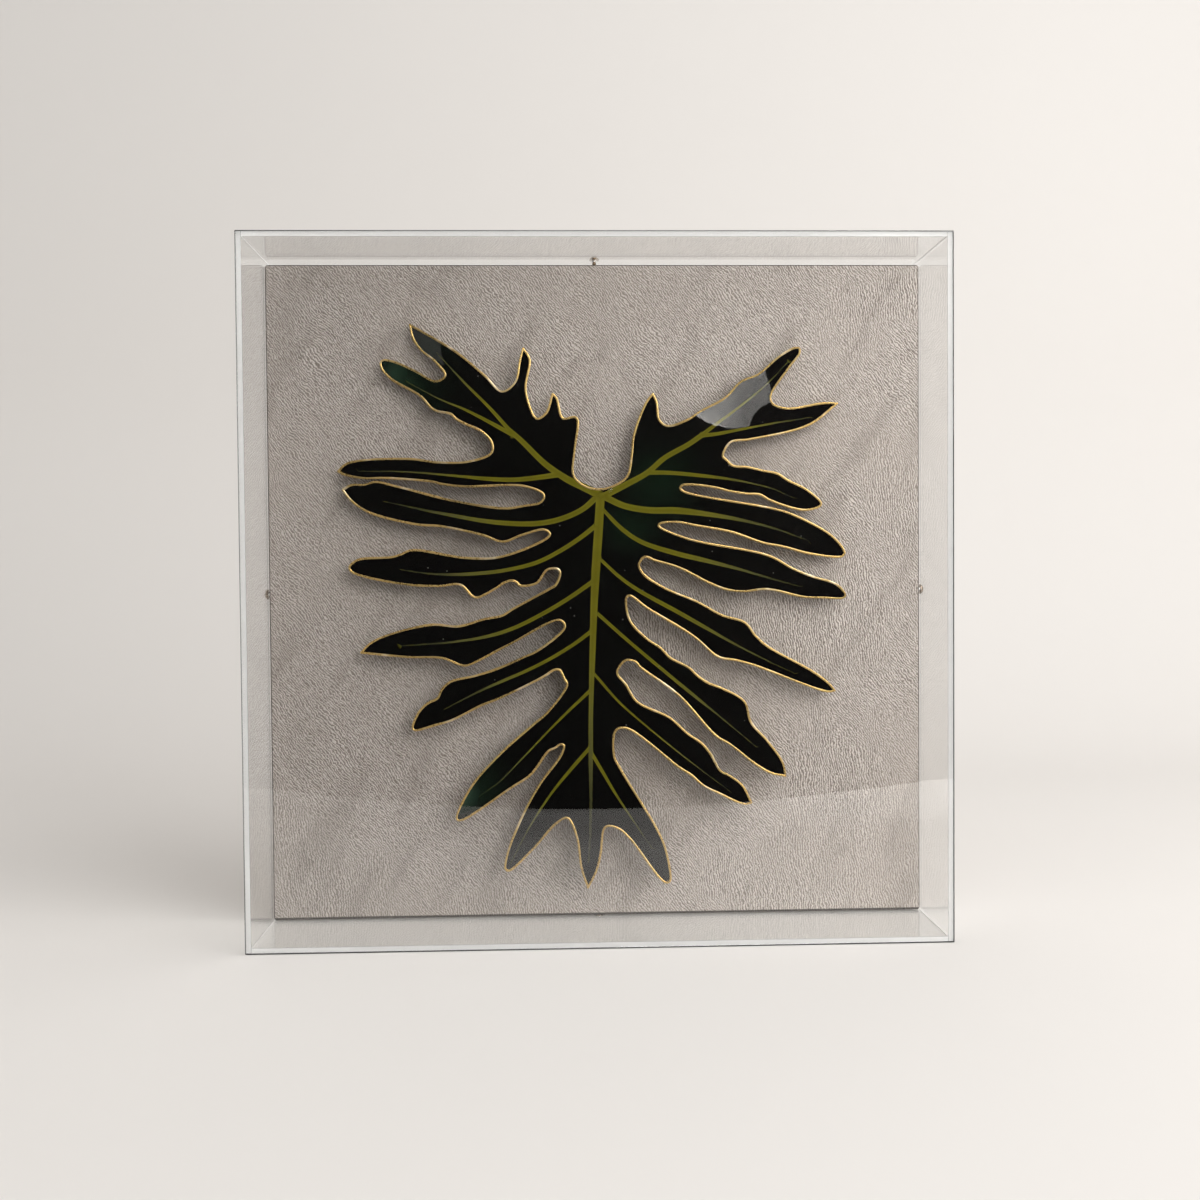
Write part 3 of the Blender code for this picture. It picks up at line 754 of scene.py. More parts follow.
# Leaf: in mm from the hub, x to the right and z up, anticlockwise from the front.
# Each run goes from one sharp tip to the next and is drawn as one smooth curve.
leafRuns = (
    # Notch at the top, from the right spike to the left one
    ((31.9, 62.6), (27.9, 57.3), (20.4, 38.0), (19.1, 26.6), (16.3, 13.8), (9.0, 8.4), (0.4, 6.1),
     (-9.2, 8.1), (-15.7, 14.5), (-15.1, 28.0), (-12.9, 46.9), (-14.4, 49.0), (-21.2, 48.1),
     (-22.8, 49.8), (-25.5, 60.5), (-27.6, 62.8)),
    # Left spikes
    ((-27.6, 62.8), (-31.4, 51.6), (-36.4, 48.1), (-38.6, 49.4), (-43.6, 65.5), (-41.1, 83.4),
     (-44.9, 90.0)),
    ((-44.9, 90.0), (-46.7, 83.0), (-49.7, 69.8), (-57.6, 64.3), (-67.6, 73.7), (-85.1, 88.4),
     (-111.9, 104.6)),
    # Left lobes 1 to 3
    ((-111.9, 104.6), (-109.8, 96.2), (-104.8, 89.1), (-97.3, 83.0), (-91.0, 74.1), (-96.6, 70.7),
     (-108.7, 76.8), (-120.1, 82.1), (-127.6, 83.7), (-129.2, 82.6), (-128.9, 79.4),
     (-123.7, 73.0), (-105.5, 61.9), (-99.4, 55.1), (-95.9, 53.1), (-87.6, 51.2), (-85.1, 48.7),
     (-80.1, 45.7), (-69.8, 40.9), (-63.7, 34.1), (-64.1, 28.0), (-77.3, 23.0), (-95.1, 22.6),
     (-113.7, 24.9), (-149.4, 22.6), (-155.1, 17.9)),
    # Left lobes 3 and 4
    ((-155.1, 17.9), (-150.9, 15.9), (-139.4, 13.8), (-127.3, 13.8), (-98.7, 11.3), (-94.4, 10.1),
     (-80.9, 8.4), (-44.6, 8.3), (-33.3, 3.1), (-34.9, -1.2), (-45.3, -3.4), (-56.0, -4.8),
     (-85.9, -0.3), (-120.1, 8.6), (-133.0, 11.5), (-139.4, 9.9), (-147.3, 9.7), (-152.4, 6.9)),
    # Left lobes 4 to 6
    ((-152.4, 6.9), (-147.3, 0.6), (-137.3, -6.2), (-109.4, -13.7), (-93.7, -15.1),
     (-70.1, -20.3), (-57.6, -24.4), (-46.7, -20.6), (-33.1, -17.5), (-29.9, -20.1),
     (-31.4, -22.4), (-59.4, -33.5), (-80.1, -33.9), (-111.6, -29.1), (-118.7, -31.7),
     (-123.7, -33.1), (-144.4, -34.8), (-148.9, -39.1), (-147.3, -41.7), (-118.0, -48.9),
     (-96.6, -50.4), (-83.0, -49.8), (-75.9, -56.6), (-73.0, -57.3), (-61.6, -51.6),
     (-57.3, -48.7), (-52.4, -47.5), (-49.6, -48.7), (-47.8, -50.5), (-38.1, -49.1),
     (-31.7, -41.2), (-25.3, -41.0), (-24.1, -43.4), (-26.7, -50.3), (-30.3, -52.6),
     (-51.7, -64.1), (-58.7, -68.3), (-69.4, -70.3), (-84.4, -74.4), (-100.9, -73.4),
     (-128.7, -80.1), (-137.6, -84.7), (-142.4, -89.6)),
    # Left lobes 6 to 9 and the middle lobe
    ((-142.4, -89.6), (-113.7, -92.4), (-94.4, -93.1), (-83.0, -97.4), (-79.8, -97.6),
     (-55.1, -85.6), (-24.6, -71.1), (-21.5, -75.1), (-37.4, -89.0), (-47.4, -93.6),
     (-61.6, -99.7), (-75.1, -103.9), (-89.4, -107.2), (-94.8, -111.9), (-97.3, -116.9),
     (-103.4, -120.1), (-108.4, -125.1), (-112.4, -134.4), (-111.2, -135.8), (-98.7, -132.8),
     (-89.4, -130.1), (-70.9, -121.1), (-61.6, -117.6), (-34.6, -104.7), (-27.8, -100.6),
     (-24.9, -100.8), (-22.1, -106.1), (-20.5, -109.4), (-31.7, -125.4), (-41.0, -133.3),
     (-59.8, -149.7), (-78.0, -170.0), (-86.6, -188.6), (-84.4, -189.4), (-54.4, -170.4),
     (-42.4, -162.5), (-31.7, -148.6), (-27.8, -146.9), (-24.9, -144.9), (-22.8, -145.4),
     (-24.2, -151.0), (-36.4, -167.5), (-45.6, -183.2), (-56.5, -208.9), (-57.8, -218.6),
     (-55.9, -219.3), (-41.7, -206.8), (-27.4, -191.4), (-21.0, -188.6), (-15.6, -199.3),
     (-12.8, -218.6), (-9.2, -229.9)),
    # Middle lobe and right lobes 9 and 8
    ((-9.2, -229.9), (-4.2, -220.0), (-1.6, -210.0), (0.4, -195.7), (2.6, -193.7), (9.0, -195.1),
     (16.1, -201.4), (34.0, -225.4), (37.6, -227.9), (39.6, -226.8), (37.2, -208.6),
     (32.2, -196.4), (11.1, -160.7), (7.0, -152.0), (8.1, -137.2), (14.0, -135.6), (46.1, -159.8),
     (53.1, -164.3), (60.3, -170.6), (69.6, -175.4), (84.6, -182.1), (88.9, -181.4)),
    # Right lobes 8 and 7
    ((88.9, -181.4), (83.5, -171.1), (75.3, -164.8), (70.6, -162.3), (64.5, -151.8),
     (59.2, -145.4), (51.0, -139.7), (40.4, -130.1), (20.8, -120.1), (14.0, -109.4),
     (9.5, -104.0), (9.6, -101.1), (14.4, -95.4), (20.1, -96.3), (23.3, -99.7), (46.1, -116.7),
     (68.1, -141.1), (76.7, -146.5), (91.0, -157.9), (101.0, -163.9), (109.8, -165.9)),
    # Right lobes 7 and 6
    ((109.8, -165.9), (108.1, -157.9), (98.9, -144.7), (89.2, -133.6), (85.3, -121.1),
     (71.7, -112.9), (63.5, -109.6), (57.1, -105.1), (52.1, -100.4), (41.1, -94.4), (35.1, -88.3),
     (27.2, -82.9), (16.9, -71.5), (15.1, -58.4), (16.9, -56.9), (27.4, -64.3), (55.3, -81.7),
     (69.9, -94.0), (79.6, -96.0), (90.3, -98.9), (136.0, -115.8), (140.3, -115.3)),
    # Right lobes 6 to 4
    ((140.3, -115.3), (136.4, -110.8), (126.7, -103.6), (99.6, -88.3), (92.4, -81.9),
     (86.0, -73.9), (72.4, -69.4), (57.4, -61.2), (37.6, -52.6), (25.4, -44.4), (22.7, -38.7),
     (26.1, -34.1), (32.6, -36.2), (46.0, -40.3), (65.3, -50.1), (74.6, -53.7), (84.6, -55.1),
     (99.6, -53.9), (121.7, -58.7), (134.6, -59.3), (145.6, -59.6), (147.1, -58.0),
     (141.7, -51.6), (126.7, -46.6), (115.3, -41.9), (100.3, -33.9), (51.7, -23.5), (34.6, -15.7),
     (35.8, -14.2), (46.0, -13.5), (56.7, -15.5), (78.1, -19.6), (97.4, -26.2), (108.9, -28.4),
     (126.0, -32.9), (145.3, -34.6), (146.9, -32.6)),
    # Right lobes 4 to 2
    ((146.9, -32.6), (144.9, -28.7), (137.4, -21.2), (115.3, -9.6), (104.6, -6.2), (49.6, 4.5),
     (47.6, 6.6), (49.2, 8.4), (66.7, 7.2), (77.4, 4.6), (87.4, 3.1), (95.3, 2.6), (101.7, -0.9),
     (123.1, -6.7), (132.6, -3.4), (124.6, 4.7), (111.7, 11.3), (106.0, 14.9), (97.4, 16.6),
     (87.4, 18.8), (78.9, 19.6), (74.9, 23.2), (73.0, 25.1), (77.4, 33.4), (88.9, 35.3),
     (125.3, 44.2), (143.0, 57.1)),
    # Right lobes 2 and 1 and the right spike
    ((143.0, 57.1), (135.3, 57.3), (112.4, 53.9), (104.2, 56.2), (102.4, 58.7), (102.6, 62.3),
     (114.2, 79.1), (120.4, 87.3), (120.3, 90.1), (117.4, 90.3), (108.1, 85.1), (95.3, 74.4),
     (84.6, 69.8), (75.3, 60.3), (60.3, 52.1), (51.0, 46.4), (40.1, 43.5), (35.4, 47.3),
     (34.1, 57.3), (31.9, 62.6)),
)

# Veins: (x, z, width) from the hub outwards; they fade towards their ends.
leafVeins = (
    ((0.1, 0.6, 5.0), (-1.4, -20.9, 5.1), (-3.0, -42.3, 4.9), (-4.2, -63.7, 4.1),
     (-5.4, -92.6, 3.4), (-6.4, -121.1, 2.6), (-6.9, -150.0, 2.5), (-7.0, -178.6, 1.5),
     (-7.7, -200.0, 1.1), (-8.7, -214.0, 0.8)),
    ((-1.7, 3.4, 4.5), (-10.3, 7.7, 4.4), (-20.3, 12.7, 4.0), (-32.6, 21.5, 3.4),
     (-46.7, 35.5, 3.0), (-53.0, 41.0, 2.8)),
    ((-53.0, 41.0, 2.4), (-65.1, 54.8, 1.8), (-79.4, 69.4, 1.2), (-86.6, 77.3, 0.7),
     (-95.9, 87.6, 0.4)),
    ((-52.3, 39.1, 2.6), (-65.1, 46.2, 2.1), (-79.4, 53.7, 1.4), (-93.7, 59.8, 0.8),
     (-113.7, 70.5, 0.4)),
    ((-24.5, 15.0, 3.2), (-34.6, 13.6, 2.9), (-50.0, 12.1, 2.6), (-65.1, 12.6, 2.3),
     (-86.6, 14.7, 1.3), (-115.1, 17.3, 0.7), (-143.0, 17.9, 0.4)),
    ((-3.1, 0.6, 3.4), (-10.3, -5.5, 3.2), (-23.1, -11.2, 3.1), (-37.4, -13.9, 3.0),
     (-58.0, -13.4, 2.7), (-72.3, -11.6, 2.3), (-86.6, -8.9, 1.9), (-100.9, -6.1, 1.3),
     (-115.1, -3.0, 0.7), (-127.3, -0.3, 0.4)),
    ((-3.5, -15.9, 2.8), (-11.7, -22.3, 2.6), (-24.6, -30.5, 2.4), (-38.9, -37.3, 2.3),
     (-58.0, -41.6, 2.1), (-72.3, -43.1, 2.0), (-86.6, -43.7, 1.6), (-100.9, -43.1, 0.9),
     (-118.0, -40.6, 0.4)),
    ((-4.7, -48.4, 2.6), (-16.0, -56.2, 2.4), (-29.5, -64.5, 2.3), (-50.0, -74.9, 2.2),
     (-65.1, -79.9, 1.9), (-86.6, -83.5, 1.1), (-118.0, -85.7, 0.4)),
    ((-6.7, -78.6, 2.3), (-16.0, -85.4, 2.0), (-30.3, -94.0, 1.9), (-44.6, -101.1, 1.8),
     (-58.0, -106.7, 1.7), (-72.3, -112.9, 1.1), (-93.0, -123.3, 0.4)),
    ((-6.9, -113.3, 2.1), (-17.4, -122.9, 1.6), (-28.9, -134.0, 1.2), (-46.0, -151.5, 0.8),
     (-61.6, -167.1, 0.6), (-72.3, -174.6, 0.3)),
    ((-7.4, -147.2, 2.2), (-18.9, -160.0, 1.9), (-29.6, -172.9, 1.4), (-42.4, -191.8, 0.85),
     (-54.6, -214.3, 0.4)),
    ((3.3, 2.7, 3.8), (15.4, 8.8, 3.5), (28.3, 15.9, 3.2), (38.3, 24.4, 3.0), (52.5, 32.3, 2.9),
     (60.3, 37.6, 2.9)),
    ((60.3, 37.6, 2.4), (70.3, 45.1, 1.8), (81.7, 53.4, 1.3), (98.9, 67.3, 0.8),
     (113.1, 81.6, 0.4)),
    ((60.3, 37.6, 2.4), (68.9, 38.4, 2.1), (83.1, 41.0, 1.4), (104.6, 45.1, 0.9),
     (126.7, 48.7, 0.4)),
    ((28.3, 15.9, 2.6), (40.4, 15.7, 2.3), (60.3, 13.8, 2.0), (81.7, 10.9, 1.1),
     (103.1, 5.9, 0.6), (115.3, 0.6, 0.3)),
    ((3.3, 1.3, 3.9), (14.0, -3.7, 3.6), (28.3, -6.4, 3.6), (46.0, -6.8, 3.8), (60.3, -8.5, 3.0),
     (81.7, -12.1, 1.9), (103.1, -17.4, 1.1), (124.6, -25.1, 0.4)),
    ((2.2, -6.6, 2.0), (12.6, -17.3, 2.4), (24.0, -25.1, 2.6), (46.0, -32.5, 2.9),
     (60.3, -36.0, 2.6), (81.7, -41.6, 1.6), (103.1, -48.0, 0.9), (119.6, -52.6, 0.4)),
    ((0.4, -35.9, 1.8), (11.1, -45.9, 2.0), (22.6, -54.1, 2.2), (45.4, -66.9, 2.4),
     (60.3, -75.4, 2.0), (81.7, -87.6, 1.1), (103.1, -98.6, 0.6), (116.0, -104.7, 0.3)),
    ((-2.1, -67.6, 2.0), (14.0, -82.2, 1.9), (31.1, -96.9, 1.9), (53.1, -115.4, 1.8),
     (67.4, -127.2, 0.9), (92.4, -148.3, 0.3)),
    ((-4.2, -103.6, 1.6), (10.4, -120.4, 1.3), (27.6, -135.8, 0.9), (53.1, -156.8, 0.7),
     (74.6, -173.2, 0.3)),
    ((-6.4, -150.4, 2.1), (0.4, -162.1, 1.8), (7.6, -174.6, 1.4), (19.7, -193.2, 0.75),
     (29.0, -207.1, 0.4)),
)

# Patches where the blade's green or teal shows through: (x, z, reach, strength)
leafGreens = (
    (34.0, 8.0, 17.0, 1.0), (18.0, -14.0, 14.0, 0.8), (-114.0, 70.0, 20.0, 1.0),
    (44.0, 20.0, 12.0, 0.4), (-80.0, -168.0, 16.0, 0.8), (-100.0, 95.0, 12.0, 0.3),
)
leafTeals = ((-85.0, -174.0, 8.0, 0.8), (-122.0, 76.0, 8.0, 0.2))

# Low swells of the dried blade, which bend what the gloss mirrors: (x, z, reach, height)
leafSwells = (
    (77.0, 31.0, 31.0, 3.2), (-80.0, 40.0, 34.0, 1.1), (-98.0, 6.0, 30.0, 0.3),
    (70.0, -84.0, 24.0, -0.25),
)

leafShape = {"hub": (2 * mm, 255 * mm), "scale": 1.004, "thickness": 1.6 * mm,
             "middle": (-4 * mm, -63 * mm), "halfWidth": 150 * mm, "halfHeight": 165 * mm,
             "lift": 12.5 * mm, "drop": 5 * mm, "rise": 4.2 * mm, "step": 0.9,
             "veinStep": 2.4, "veinSoft": 0.24, "ripple": 0.012 * mm, "ripples": 24,
             "grid": 4.6, "rowStep": 0.87, "rows": (-56, 28), "columns": (-38, 36)}
rimShape = {"halfWidth": 0.78 * mm, "proud": 0.3 * mm, "vary": 0.16,
            "mitre": 1.12, "join": 24.0, "around": 12, "square": 0.62}


def leafFrontY(x, z):
    shape = leafShape
    across = (x - shape["hub"][0] - shape["middle"][0]) / shape["halfWidth"]
    up = (z - shape["hub"][1] - shape["middle"][1]) / shape["halfHeight"]
    bend = shape["drop"] if up > 0 else -shape["rise"]
    height = shape["lift"] - shape["drop"] * across ** 2 - bend * up ** 2
    for middleX, middleZ, reach, lift in leafSwells:
        gap = (((x - shape["hub"][0]) / mm - middleX) ** 2
               + ((z - shape["hub"][1]) / mm - middleZ) ** 2) / reach ** 2
        height += lift * mm * math.exp(-gap)
    return panelLow.y - height


def leafPlace(x, z):
    # mm from the hub to metres in the frame
    scale = leafShape["scale"] * mm
    return leafShape["hub"][0] + x * scale, leafShape["hub"][1] + z * scale


def blend(start, end, first, last, at):
    return start.lerp(end, (at - first) / (last - first))


def smoothCurve(points, step):
    # centripetal Catmull-Rom curve through the points
    points = [Vector(point) for point in points]
    points = [2 * points[0] - points[1]] + points + [2 * points[-1] - points[-2]]
    curve = []
    for index in range(1, len(points) - 2):
        near = points[index - 1:index + 3]
        knots = [0.0]
        for first, second in zip(near, near[1:]):
            knots.append(knots[-1] + math.sqrt((second - first).length))
        count = max(1, round((near[2] - near[1]).length / step))
        for part in range(count):
            at = knots[1] + (knots[2] - knots[1]) * part / count
            sides = [blend(near[i], near[i + 1], knots[i], knots[i + 1], at) for i in range(3)]
            halves = [blend(sides[i], sides[i + 1], knots[i], knots[i + 2], at) for i in range(2)]
            curve.append(blend(halves[0], halves[1], knots[1], knots[2], at))
    curve.append(points[-2])
    return curve


leafOutline = []
leafTips = []
for run in leafRuns:
    leafTips.append(len(leafOutline))
    leafOutline += smoothCurve(run, leafShape["step"])[:-1]
veinLines = [smoothCurve(vein, leafShape["veinStep"]) for vein in leafVeins]


def leafMasks(points):
    # for (x, z) points in mm: vein cover, nearness to its middle, and how far along it is
    points = np.array(points, float)
    cover = np.zeros(len(points))
    core = np.zeros(len(points))
    along = np.zeros(len(points))
    for line in veinLines:
        line = np.array(line, float)
        start, end = line[:-1], line[1:]
        step = end[:, :2] - start[:, :2]
        lengths = np.hypot(step[:, 0], step[:, 1])
        travelled = np.concatenate(([0], np.cumsum(lengths)))
        rel = points[:, None, :] - start[None, :, :2]
        share = np.clip((rel * step).sum(2) / np.maximum(lengths ** 2, 1e-9), 0, 1)
        gap = np.hypot(*np.moveaxis(rel - share[..., None] * step, 2, 0))
        best = gap.argmin(1)
        rows = np.arange(len(points))
        gap = gap[rows, best]
        share = share[rows, best]
        half = (start[best, 2] + share * (end[best, 2] - start[best, 2])) / 2
        soft = leafShape["veinSoft"]
        mask = np.clip((half + soft / 2 - gap) / soft, 0, 1)
        better = mask > cover
        core = np.maximum(core, np.clip(1 - gap / np.maximum(half, 0.05), 0, 1))
        place = (travelled[best] + share * lengths[best]) / travelled[-1]
        endsThin = line[-1, 2] < 1.0
        along = np.where(better, place if endsThin else place * 0.3, along)
        cover = np.maximum(cover, mask)
    return cover, core, along


def leafTint(points, spots):
    points = np.array(points, float)
    tint = np.zeros(len(points))
    for x, z, reach, strength in spots:
        gap = ((points[:, 0] - x) ** 2 + (points[:, 1] - z) ** 2) / reach ** 2
        tint = np.maximum(tint, strength * np.exp(-gap))
    return tint


def insideLeaf(points):
    points = np.array(points, float)
    loop = np.array([tuple(point) for point in leafOutline])
    after = np.roll(loop, -1, axis=0)
    inside = np.zeros(len(points), bool)
    clear = np.full(len(points), np.inf)
    for (ax, az), (bx, bz) in zip(loop, after):
        crosses = (az > points[:, 1]) != (bz > points[:, 1])
        if az != bz:
            at = ax + (points[:, 1] - az) * (bx - ax) / (bz - az)
            inside ^= crosses & (points[:, 0] < at)
        clear = np.minimum(clear, (points[:, 0] - ax) ** 2 + (points[:, 1] - az) ** 2)
    return inside & (clear > 2.0)


def paintMasks(mesh, name, masks):
    # keeps three masks as one colour at each vertex
    layer = mesh.attributes.new(name, "FLOAT_COLOR", "POINT")
    layer.data.foreach_set("color", np.stack([*masks, np.ones(len(masks[0]))], 1).ravel())


def makeLeaf():
    # one flat triangulation holds the outline and both borders of every vein as real edges
    points = [Vector(point) for point in leafOutline]
    count = len(points)
    edges = [(index, (index + 1) % count) for index in range(count)]
    for line in veinLines:
        for side in (0.0, 1.0, -1.0):
            for offset in ((0.0,) if side == 0 else (-0.5, 0.5)):
                first = len(points)
                for index, point in enumerate(line):
                    before = line[max(0, index - 1)]
                    after = line[min(len(line) - 1, index + 1)]
                    run = Vector((after.x - before.x, after.y - before.y)).normalized()
                    half = max(point.z / 2 + offset * leafShape["veinSoft"], 0.05)
                    points.append(Vector((point.x - side * half * run.y,
                                          point.y + side * half * run.x)))
                edges += [(index, index + 1) for index in range(first, len(points) - 1)]
    grid = []
    spacing = leafShape["grid"]
    for row in range(*leafShape["rows"]):
        shift = 0.5 if row % 2 else 0.0
        for column in range(*leafShape["columns"]):
            grid.append(((column + shift) * spacing, row * spacing * leafShape["rowStep"]))
    cover = leafMasks(grid)[0]
    keep = insideLeaf(grid) & (cover == 0)
    points += [Vector(point) for point, kept in zip(grid, keep) if kept]
    verts, _, faces = delaunay_2d_cdt(points, edges, [], 1, 0.02)[:3]
    flat = [leafPlace(point.x, point.y) for point in verts]
    leaf = meshPiece("leaf_blade", [(x, leafFrontY(x, z), z) for x, z in flat], faces)
    mesh = leaf.data
    for vert in mesh.vertices:
        at = vert.co * leafShape["ripples"]
        vert.co.y += leafShape["ripple"] * noise.noise(Vector((at.x, 0.4, at.z)))
    mesh.update()
    if sum(face.normal.y * face.area for face in mesh.polygons) > 0:
        mesh.flip_normals()
    plain = [(point.x, point.y) for point in verts]
    paintMasks(mesh, "veins", leafMasks(plain))
    green, teal = leafTint(plain, leafGreens), leafTint(plain, leafTeals)
    paintMasks(mesh, "tint", (green, teal, teal * 0))
    pick(leaf, lambda vert: not vert.link_faces, "VERT")
    bpy.ops.mesh.delete(type="VERT")
    objectMode()
    addModifier(leaf, "SOLIDIFY", thickness=leafShape["thickness"], offset=-1)
    smoothShade(leaf, 50)
    finishPiece(leaf, "leaf_blade", leafGloss, ["leaf"])
    print("leaf made,", len(leaf.data.polygons), "faces")


def makeRim():
    # a rounded bead swept round the outline, with its sharp tips turned in small steps
    count = len(leafOutline)
    rings = []
    for index, point in enumerate(leafOutline):
        before = Vector(point - leafOutline[index - 1]).normalized()
        after = Vector(leafOutline[(index + 1) % count] - point).normalized()
        first, last = Vector((before.y, -before.x)), Vector((after.y, -after.x))
        turn = math.degrees(before.angle_signed(after, 0.0))
        steps = math.ceil(abs(turn) / rimShape["join"]) if index in leafTips else 0
        if steps > 1:
            for part in range(steps + 1):
                rings.append((point, first.slerp(last, part / steps)))
        else:
            mitre = (first + last) / max(0.5, 1 + first.dot(last))
            rings.append((point, mitre * min(1, rimShape["mitre"] / mitre.length)))
    verts = []
    around = rimShape["around"]
    depth = leafShape["thickness"] / 2 + rimShape["proud"]
    for point, normal in rings:
        x, z = leafPlace(point.x, point.y)
        wide = noise.noise(Vector((x * 55, 3.1, z * 55))) * rimShape["vary"]
        half = rimShape["halfWidth"] * (0.94 + wide)
        front = leafFrontY(x, z) + leafShape["thickness"] / 2
        for part in range(around):
            angle = 2 * math.pi * part / around
            out, back = math.cos(angle), math.sin(angle)
            out = math.copysign(abs(out) ** rimShape["square"], out) * half
            back = math.copysign(abs(back) ** rimShape["square"], back) * depth
            verts.append((x + normal.x * out, front + back, z + normal.y * out))
    faces = []
    total = len(rings)
    for ring in range(total):
        after = (ring + 1) % total
        for part in range(around):
            beside = (part + 1) % around
            faces.append((ring * around + part, ring * around + beside,
                          after * around + beside, after * around + part))
    rim = meshPiece("gilt_rim", verts, faces)
    fixNormals(rim)
    smoothShade(rim, 60)
    finishPiece(rim, "gilt_rim", gilt, ["gold_rim"])
    print("rim made,", len(rim.data.polygons), "faces")


makeLeaf()
makeRim()


# A bead of clear coat that has run against the rim at the notch
beadShape = {"place": (6.0, 5.6), "radius": 1.7 * mm, "flatten": (1.0, 0.5, 0.8),
             "backFrom": 0.3 * mm, "spread": (1.15, 0.4, 1.15)}


def makeCoatBead():
    x, z = leafPlace(*beadShape["place"])
    front = leafFrontY(x, z)
    deselectAll()
    bpy.ops.mesh.primitive_uv_sphere_add(segments=32, ring_count=16,
                                         radius=beadShape["radius"], location=(x, front, z))
    bead = bpy.context.object
    bead.scale = beadShape["flatten"]
    applyPlace(bead)
    pick(bead, lambda face: face.calc_center_median().y > front + beadShape["backFrom"])
    bpy.ops.transform.resize(value=beadShape["spread"])
    objectMode()
    smoothShade(bead, 60)
    finishPiece(bead, "coat_bead", acrylic, [])


makeCoatBead()


# Posts between the leaf and the panel: turned pads with soft rims
postShape = {"rim": 0.5 * mm, "rimSoft": 0.15 * mm, "pad": 1.6 * mm, "waist": 2.4 * mm,
             "waistWidth": 0.78, "sides": 40}


def makePost(number):
    shape = postShape
    low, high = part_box(f"leaf_post_{number}")
    radius = (high.x - low.x) / 2
    length = high.y - low.y
    end = [(0, 0), (radius - shape["rim"], 0), (radius - shape["rimSoft"], shape["rimSoft"]),
           (radius, shape["rim"]), (radius, shape["pad"]),
           (radius * shape["waistWidth"], shape["waist"])]
    otherEnd = [(across, length - along) for across, along in reversed(end)]
    post = spinPiece(end + otherEnd, shape["sides"])
    smoothShade(post, 40)
    post.rotation_euler = (-math.pi / 2, 0, 0)
    post.location = ((low.x + high.x) / 2, low.y, (low.z + high.z) / 2)
    finishPiece(post, f"post_{number}", postRubber, [f"leaf_post_{number}"])


for number in range(1, 6):
    makePost(number)
print("posts made")


# Stage: a pale table that sweeps up into the backdrop, and a dim room behind the camera
stageLook = {"edge": -0.622, "lip": 0.004, "skirt": 0.06, "back": 1.05, "curve": 0.5,
             "steps": 12, "top": 2.6, "half": 3.6, "under": 0.0002,
             "table": (0.758, 0.735, 0.71, 1), "evenness": 0.985,
             "nearEdge": (-0.36, -0.5), "litFrom": (0.06, 0.36), "shade": 0.55, "shaded": 0.4,
             "lit": (1.0, 0.99, 0.97, 1), "glow": 0.9,
             "room": (0.040, 0.032, 0.028, 1), "roomEvenness": 0.15,
             "roomPlace": (-1.05, 1.05, -0.45, 1.3), "roomY": -1.6}


def scaled(colour, share):
    return tuple(part * share for part in colour[:3]) + (1,)


def makeStageMaterial(name, colour, evenness, glow=0.0):
    look = stageLook
    material, tree, shader = newMaterial(name, Roughness=0.85, Specular_IOR_Level=0.2,
                                         Emission_Strength=glow)
    coords = objectCoords(tree)
    tone = mixColours(tree, noiseAt(tree, coords, 2.5, 3.0), scaled(colour, evenness), colour)
    # painted shade darkens the near edge of the table on the left, and painted light makes it glow
    # on the right; the dim room is darkened on its left the same way
    across, depth = addNode(tree, "SeparateXYZ", {0: coords}).outputs[:2]
    near = remap(tree, depth, *look["nearEdge"])
    lit = calc(tree, "MULTIPLY", near, remap(tree, across, *look["litFrom"]))
    shade = calc(tree, "MULTIPLY", calc(tree, "SUBTRACT", near, lit), look["shade"])
    plug(tree, shader.inputs["Emission Color"], mixColours(tree, lit, (0, 0, 0, 1), look["lit"]))
    plug(tree, shader.inputs["Base Color"],
         mixColours(tree, shade, tone, scaled(colour, look["shaded"])))
    return material


def makeTable():
    look = stageLook
    profile = [(look["edge"], -look["skirt"]), (look["edge"], -look["lip"]),
               (look["edge"] + look["lip"], 0.0)]
    for step in range(look["steps"] + 1):
        angle = math.pi / 2 * step / look["steps"]
        profile.append((look["back"] - look["curve"] * (1 - math.sin(angle)),
                        look["curve"] * (1 - math.cos(angle))))
    profile.append((look["back"], look["top"]))
    verts = [(side * look["half"], y, z - look["under"]) for side in (-1, 1) for y, z in profile]
    count = len(profile)
    faces = [(index, index + 1, index + 1 + count, index + count) for index in range(count - 1)]
    table = meshPiece("table_and_backdrop", verts, faces)
    smoothShade(table, 30)
    table.data.materials.append(
        makeStageMaterial("pale table", look["table"], look["evenness"], look["glow"]))


def makeCard(name, left, right, low, high, y, material):
    # an upright card that only reflections and clear sheets show
    deselectAll()
    bpy.ops.mesh.primitive_plane_add(size=1, rotation=(math.pi / 2, 0, 0),
                                     location=((left + right) / 2, y, (low + high) / 2))
    card = bpy.context.object
    card.name = name
    card.scale = (right - left, high - low, 1)
    applyPlace(card)
    card.data.materials.append(material)
    for flag in ("visible_camera", "visible_diffuse", "visible_shadow"):
        setattr(card, flag, False)


# Bright openings in the dim room: (left, right, low, high) and strength
openingLook = {"left": (1.0, 0.97, 0.92, 1), "right": (0.4, 0.385, 0.365, 1), "y": -1.5,
               "openings": (((0.08, 0.66, 0.795, 1.05), 11.0),
                            ((-1.0, -0.36, 0.795, 1.2), 2.2))}


def makeOpeningMaterial(name, left, right, strength):
    material = bpy.data.materials.new(name)
    material.use_nodes = True
    tree = material.node_tree
    tree.nodes.remove(tree.nodes["Principled BSDF"])
    across = addNode(tree, "SeparateXYZ", {0: objectCoords(tree)}).outputs[0]
    colour = mixColours(tree, remap(tree, across, left, right), openingLook["left"],
                        openingLook["right"])
    glow = addNode(tree, "Emission", {"Color": colour, "Strength": strength})
    tree.links.new(glow.outputs[0], tree.nodes["Material Output"].inputs["Surface"])
    return material


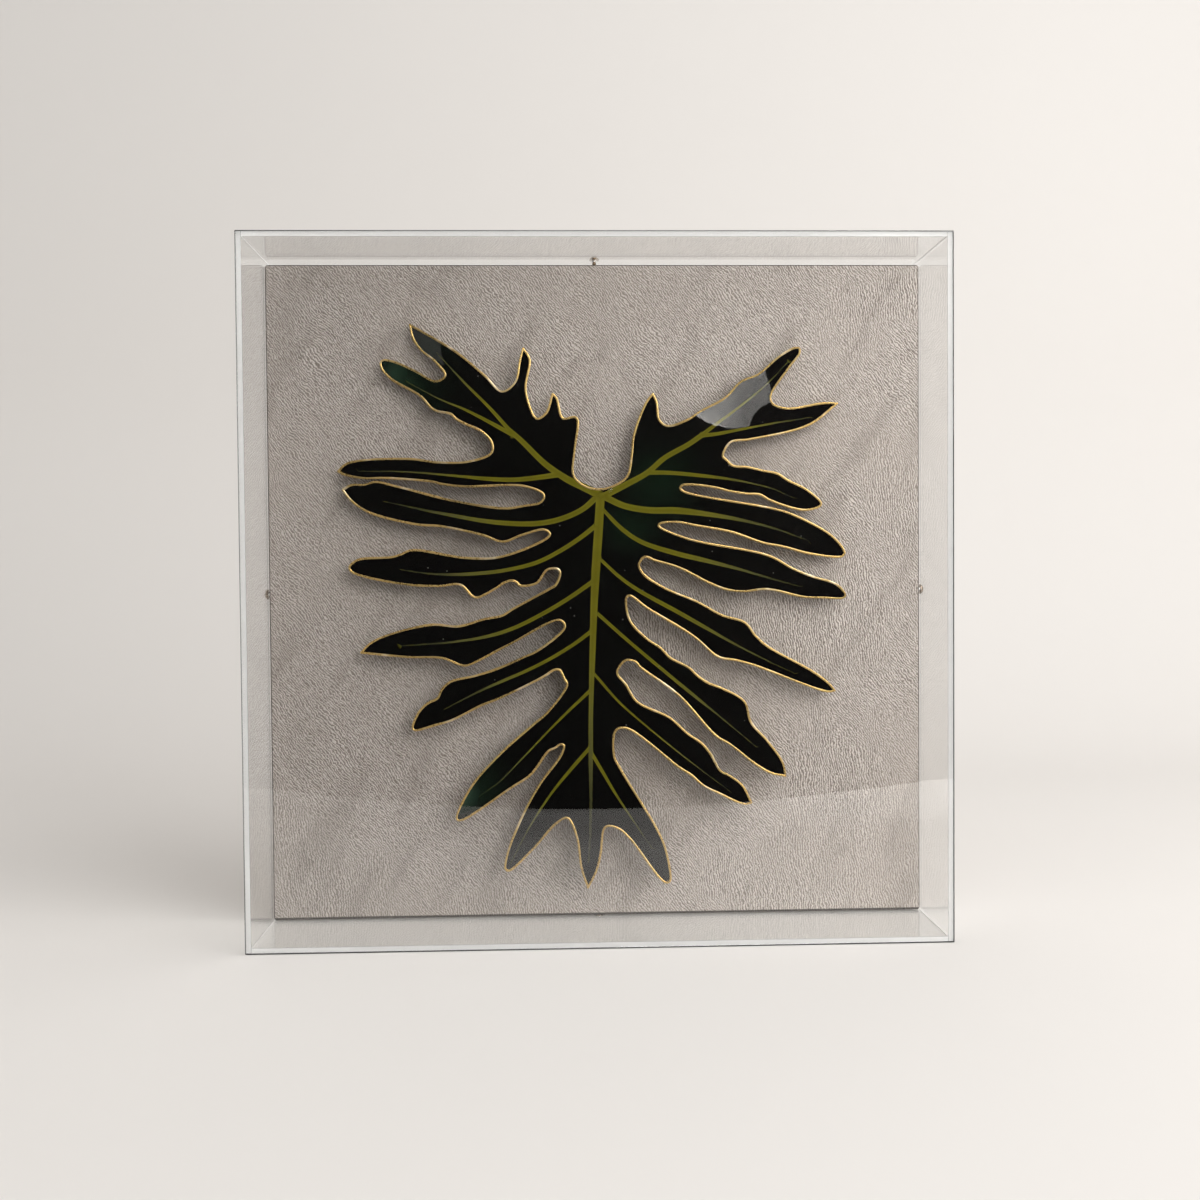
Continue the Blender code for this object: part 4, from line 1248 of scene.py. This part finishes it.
makeTable()
makeCard("dim_room", *stageLook["roomPlace"], stageLook["roomY"],
         makeStageMaterial("dim room", stageLook["room"], stageLook["roomEvenness"]))
for number, (place, strength) in enumerate(openingLook["openings"]):
    makeCard(f"opening_{number}", *place, openingLook["y"],
             makeOpeningMaterial(f"opening {number}", *place[:2], strength))


def addSoftbox(name, location, target, size, power, colour):
    light = bpy.data.lights.new(name, "AREA")
    light.shape = "RECTANGLE"
    light.size, light.size_y = size
    light.energy = power
    light.color = colour
    lamp = bpy.data.objects.new(name, light)
    bpy.context.scene.collection.objects.link(lamp)
    lamp.location = location
    lamp.rotation_euler = (Vector(target) - Vector(location)).to_track_quat("-Z", "Y").to_euler()


# Softboxes: name, place, what it faces, size in metres, watts, colour
softboxes = (
    ("key", (1.25, -1.0, 1.15), (0, 0, 0.18), (1.6, 1.6), 36.0, (1.0, 0.99, 0.978)),
    ("fill", (-1.3, -0.9, 1.0), (0, 0, 0.2), (1.2, 1.2), 1.0, (1.0, 0.97, 0.93)),
    ("backdrop wash", (1.2, 0.2, 1.9), (0.4, 1.0, 0.6), (1.4, 0.8), 1.0, (1.0, 0.99, 0.97)),
)
for softbox in softboxes:
    addSoftbox(*softbox)

worldLook = {"Color": (1.0, 0.985, 0.965, 1), "Strength": 0.58}
world = bpy.data.worlds.new("pale studio")
bpy.context.scene.world = world
world.use_nodes = True
for key, value in worldLook.items():
    world.node_tree.nodes["Background"].inputs[key].default_value = value
bpy.context.scene.view_settings.view_transform = "Standard"

# Camera: in front, a little left of the middle, at the height of the leaf
cameraLook = {"place": (-0.0246, -0.7640, 0.2147), "turn": (88.562, 0.456, -1.936),
              "lens": 39.0, "film": 36, "nearest": 0.01}
camera = bpy.data.objects.new("camera", bpy.data.cameras.new("camera"))
bpy.context.scene.collection.objects.link(camera)
camera.location = cameraLook["place"]
camera.rotation_euler = [math.radians(angle) for angle in cameraLook["turn"]]
camera.data.lens = cameraLook["lens"]
camera.data.sensor_width = cameraLook["film"]
camera.data.clip_start = cameraLook["nearest"]
bpy.context.scene.camera = camera
print("stage, lights and camera set")
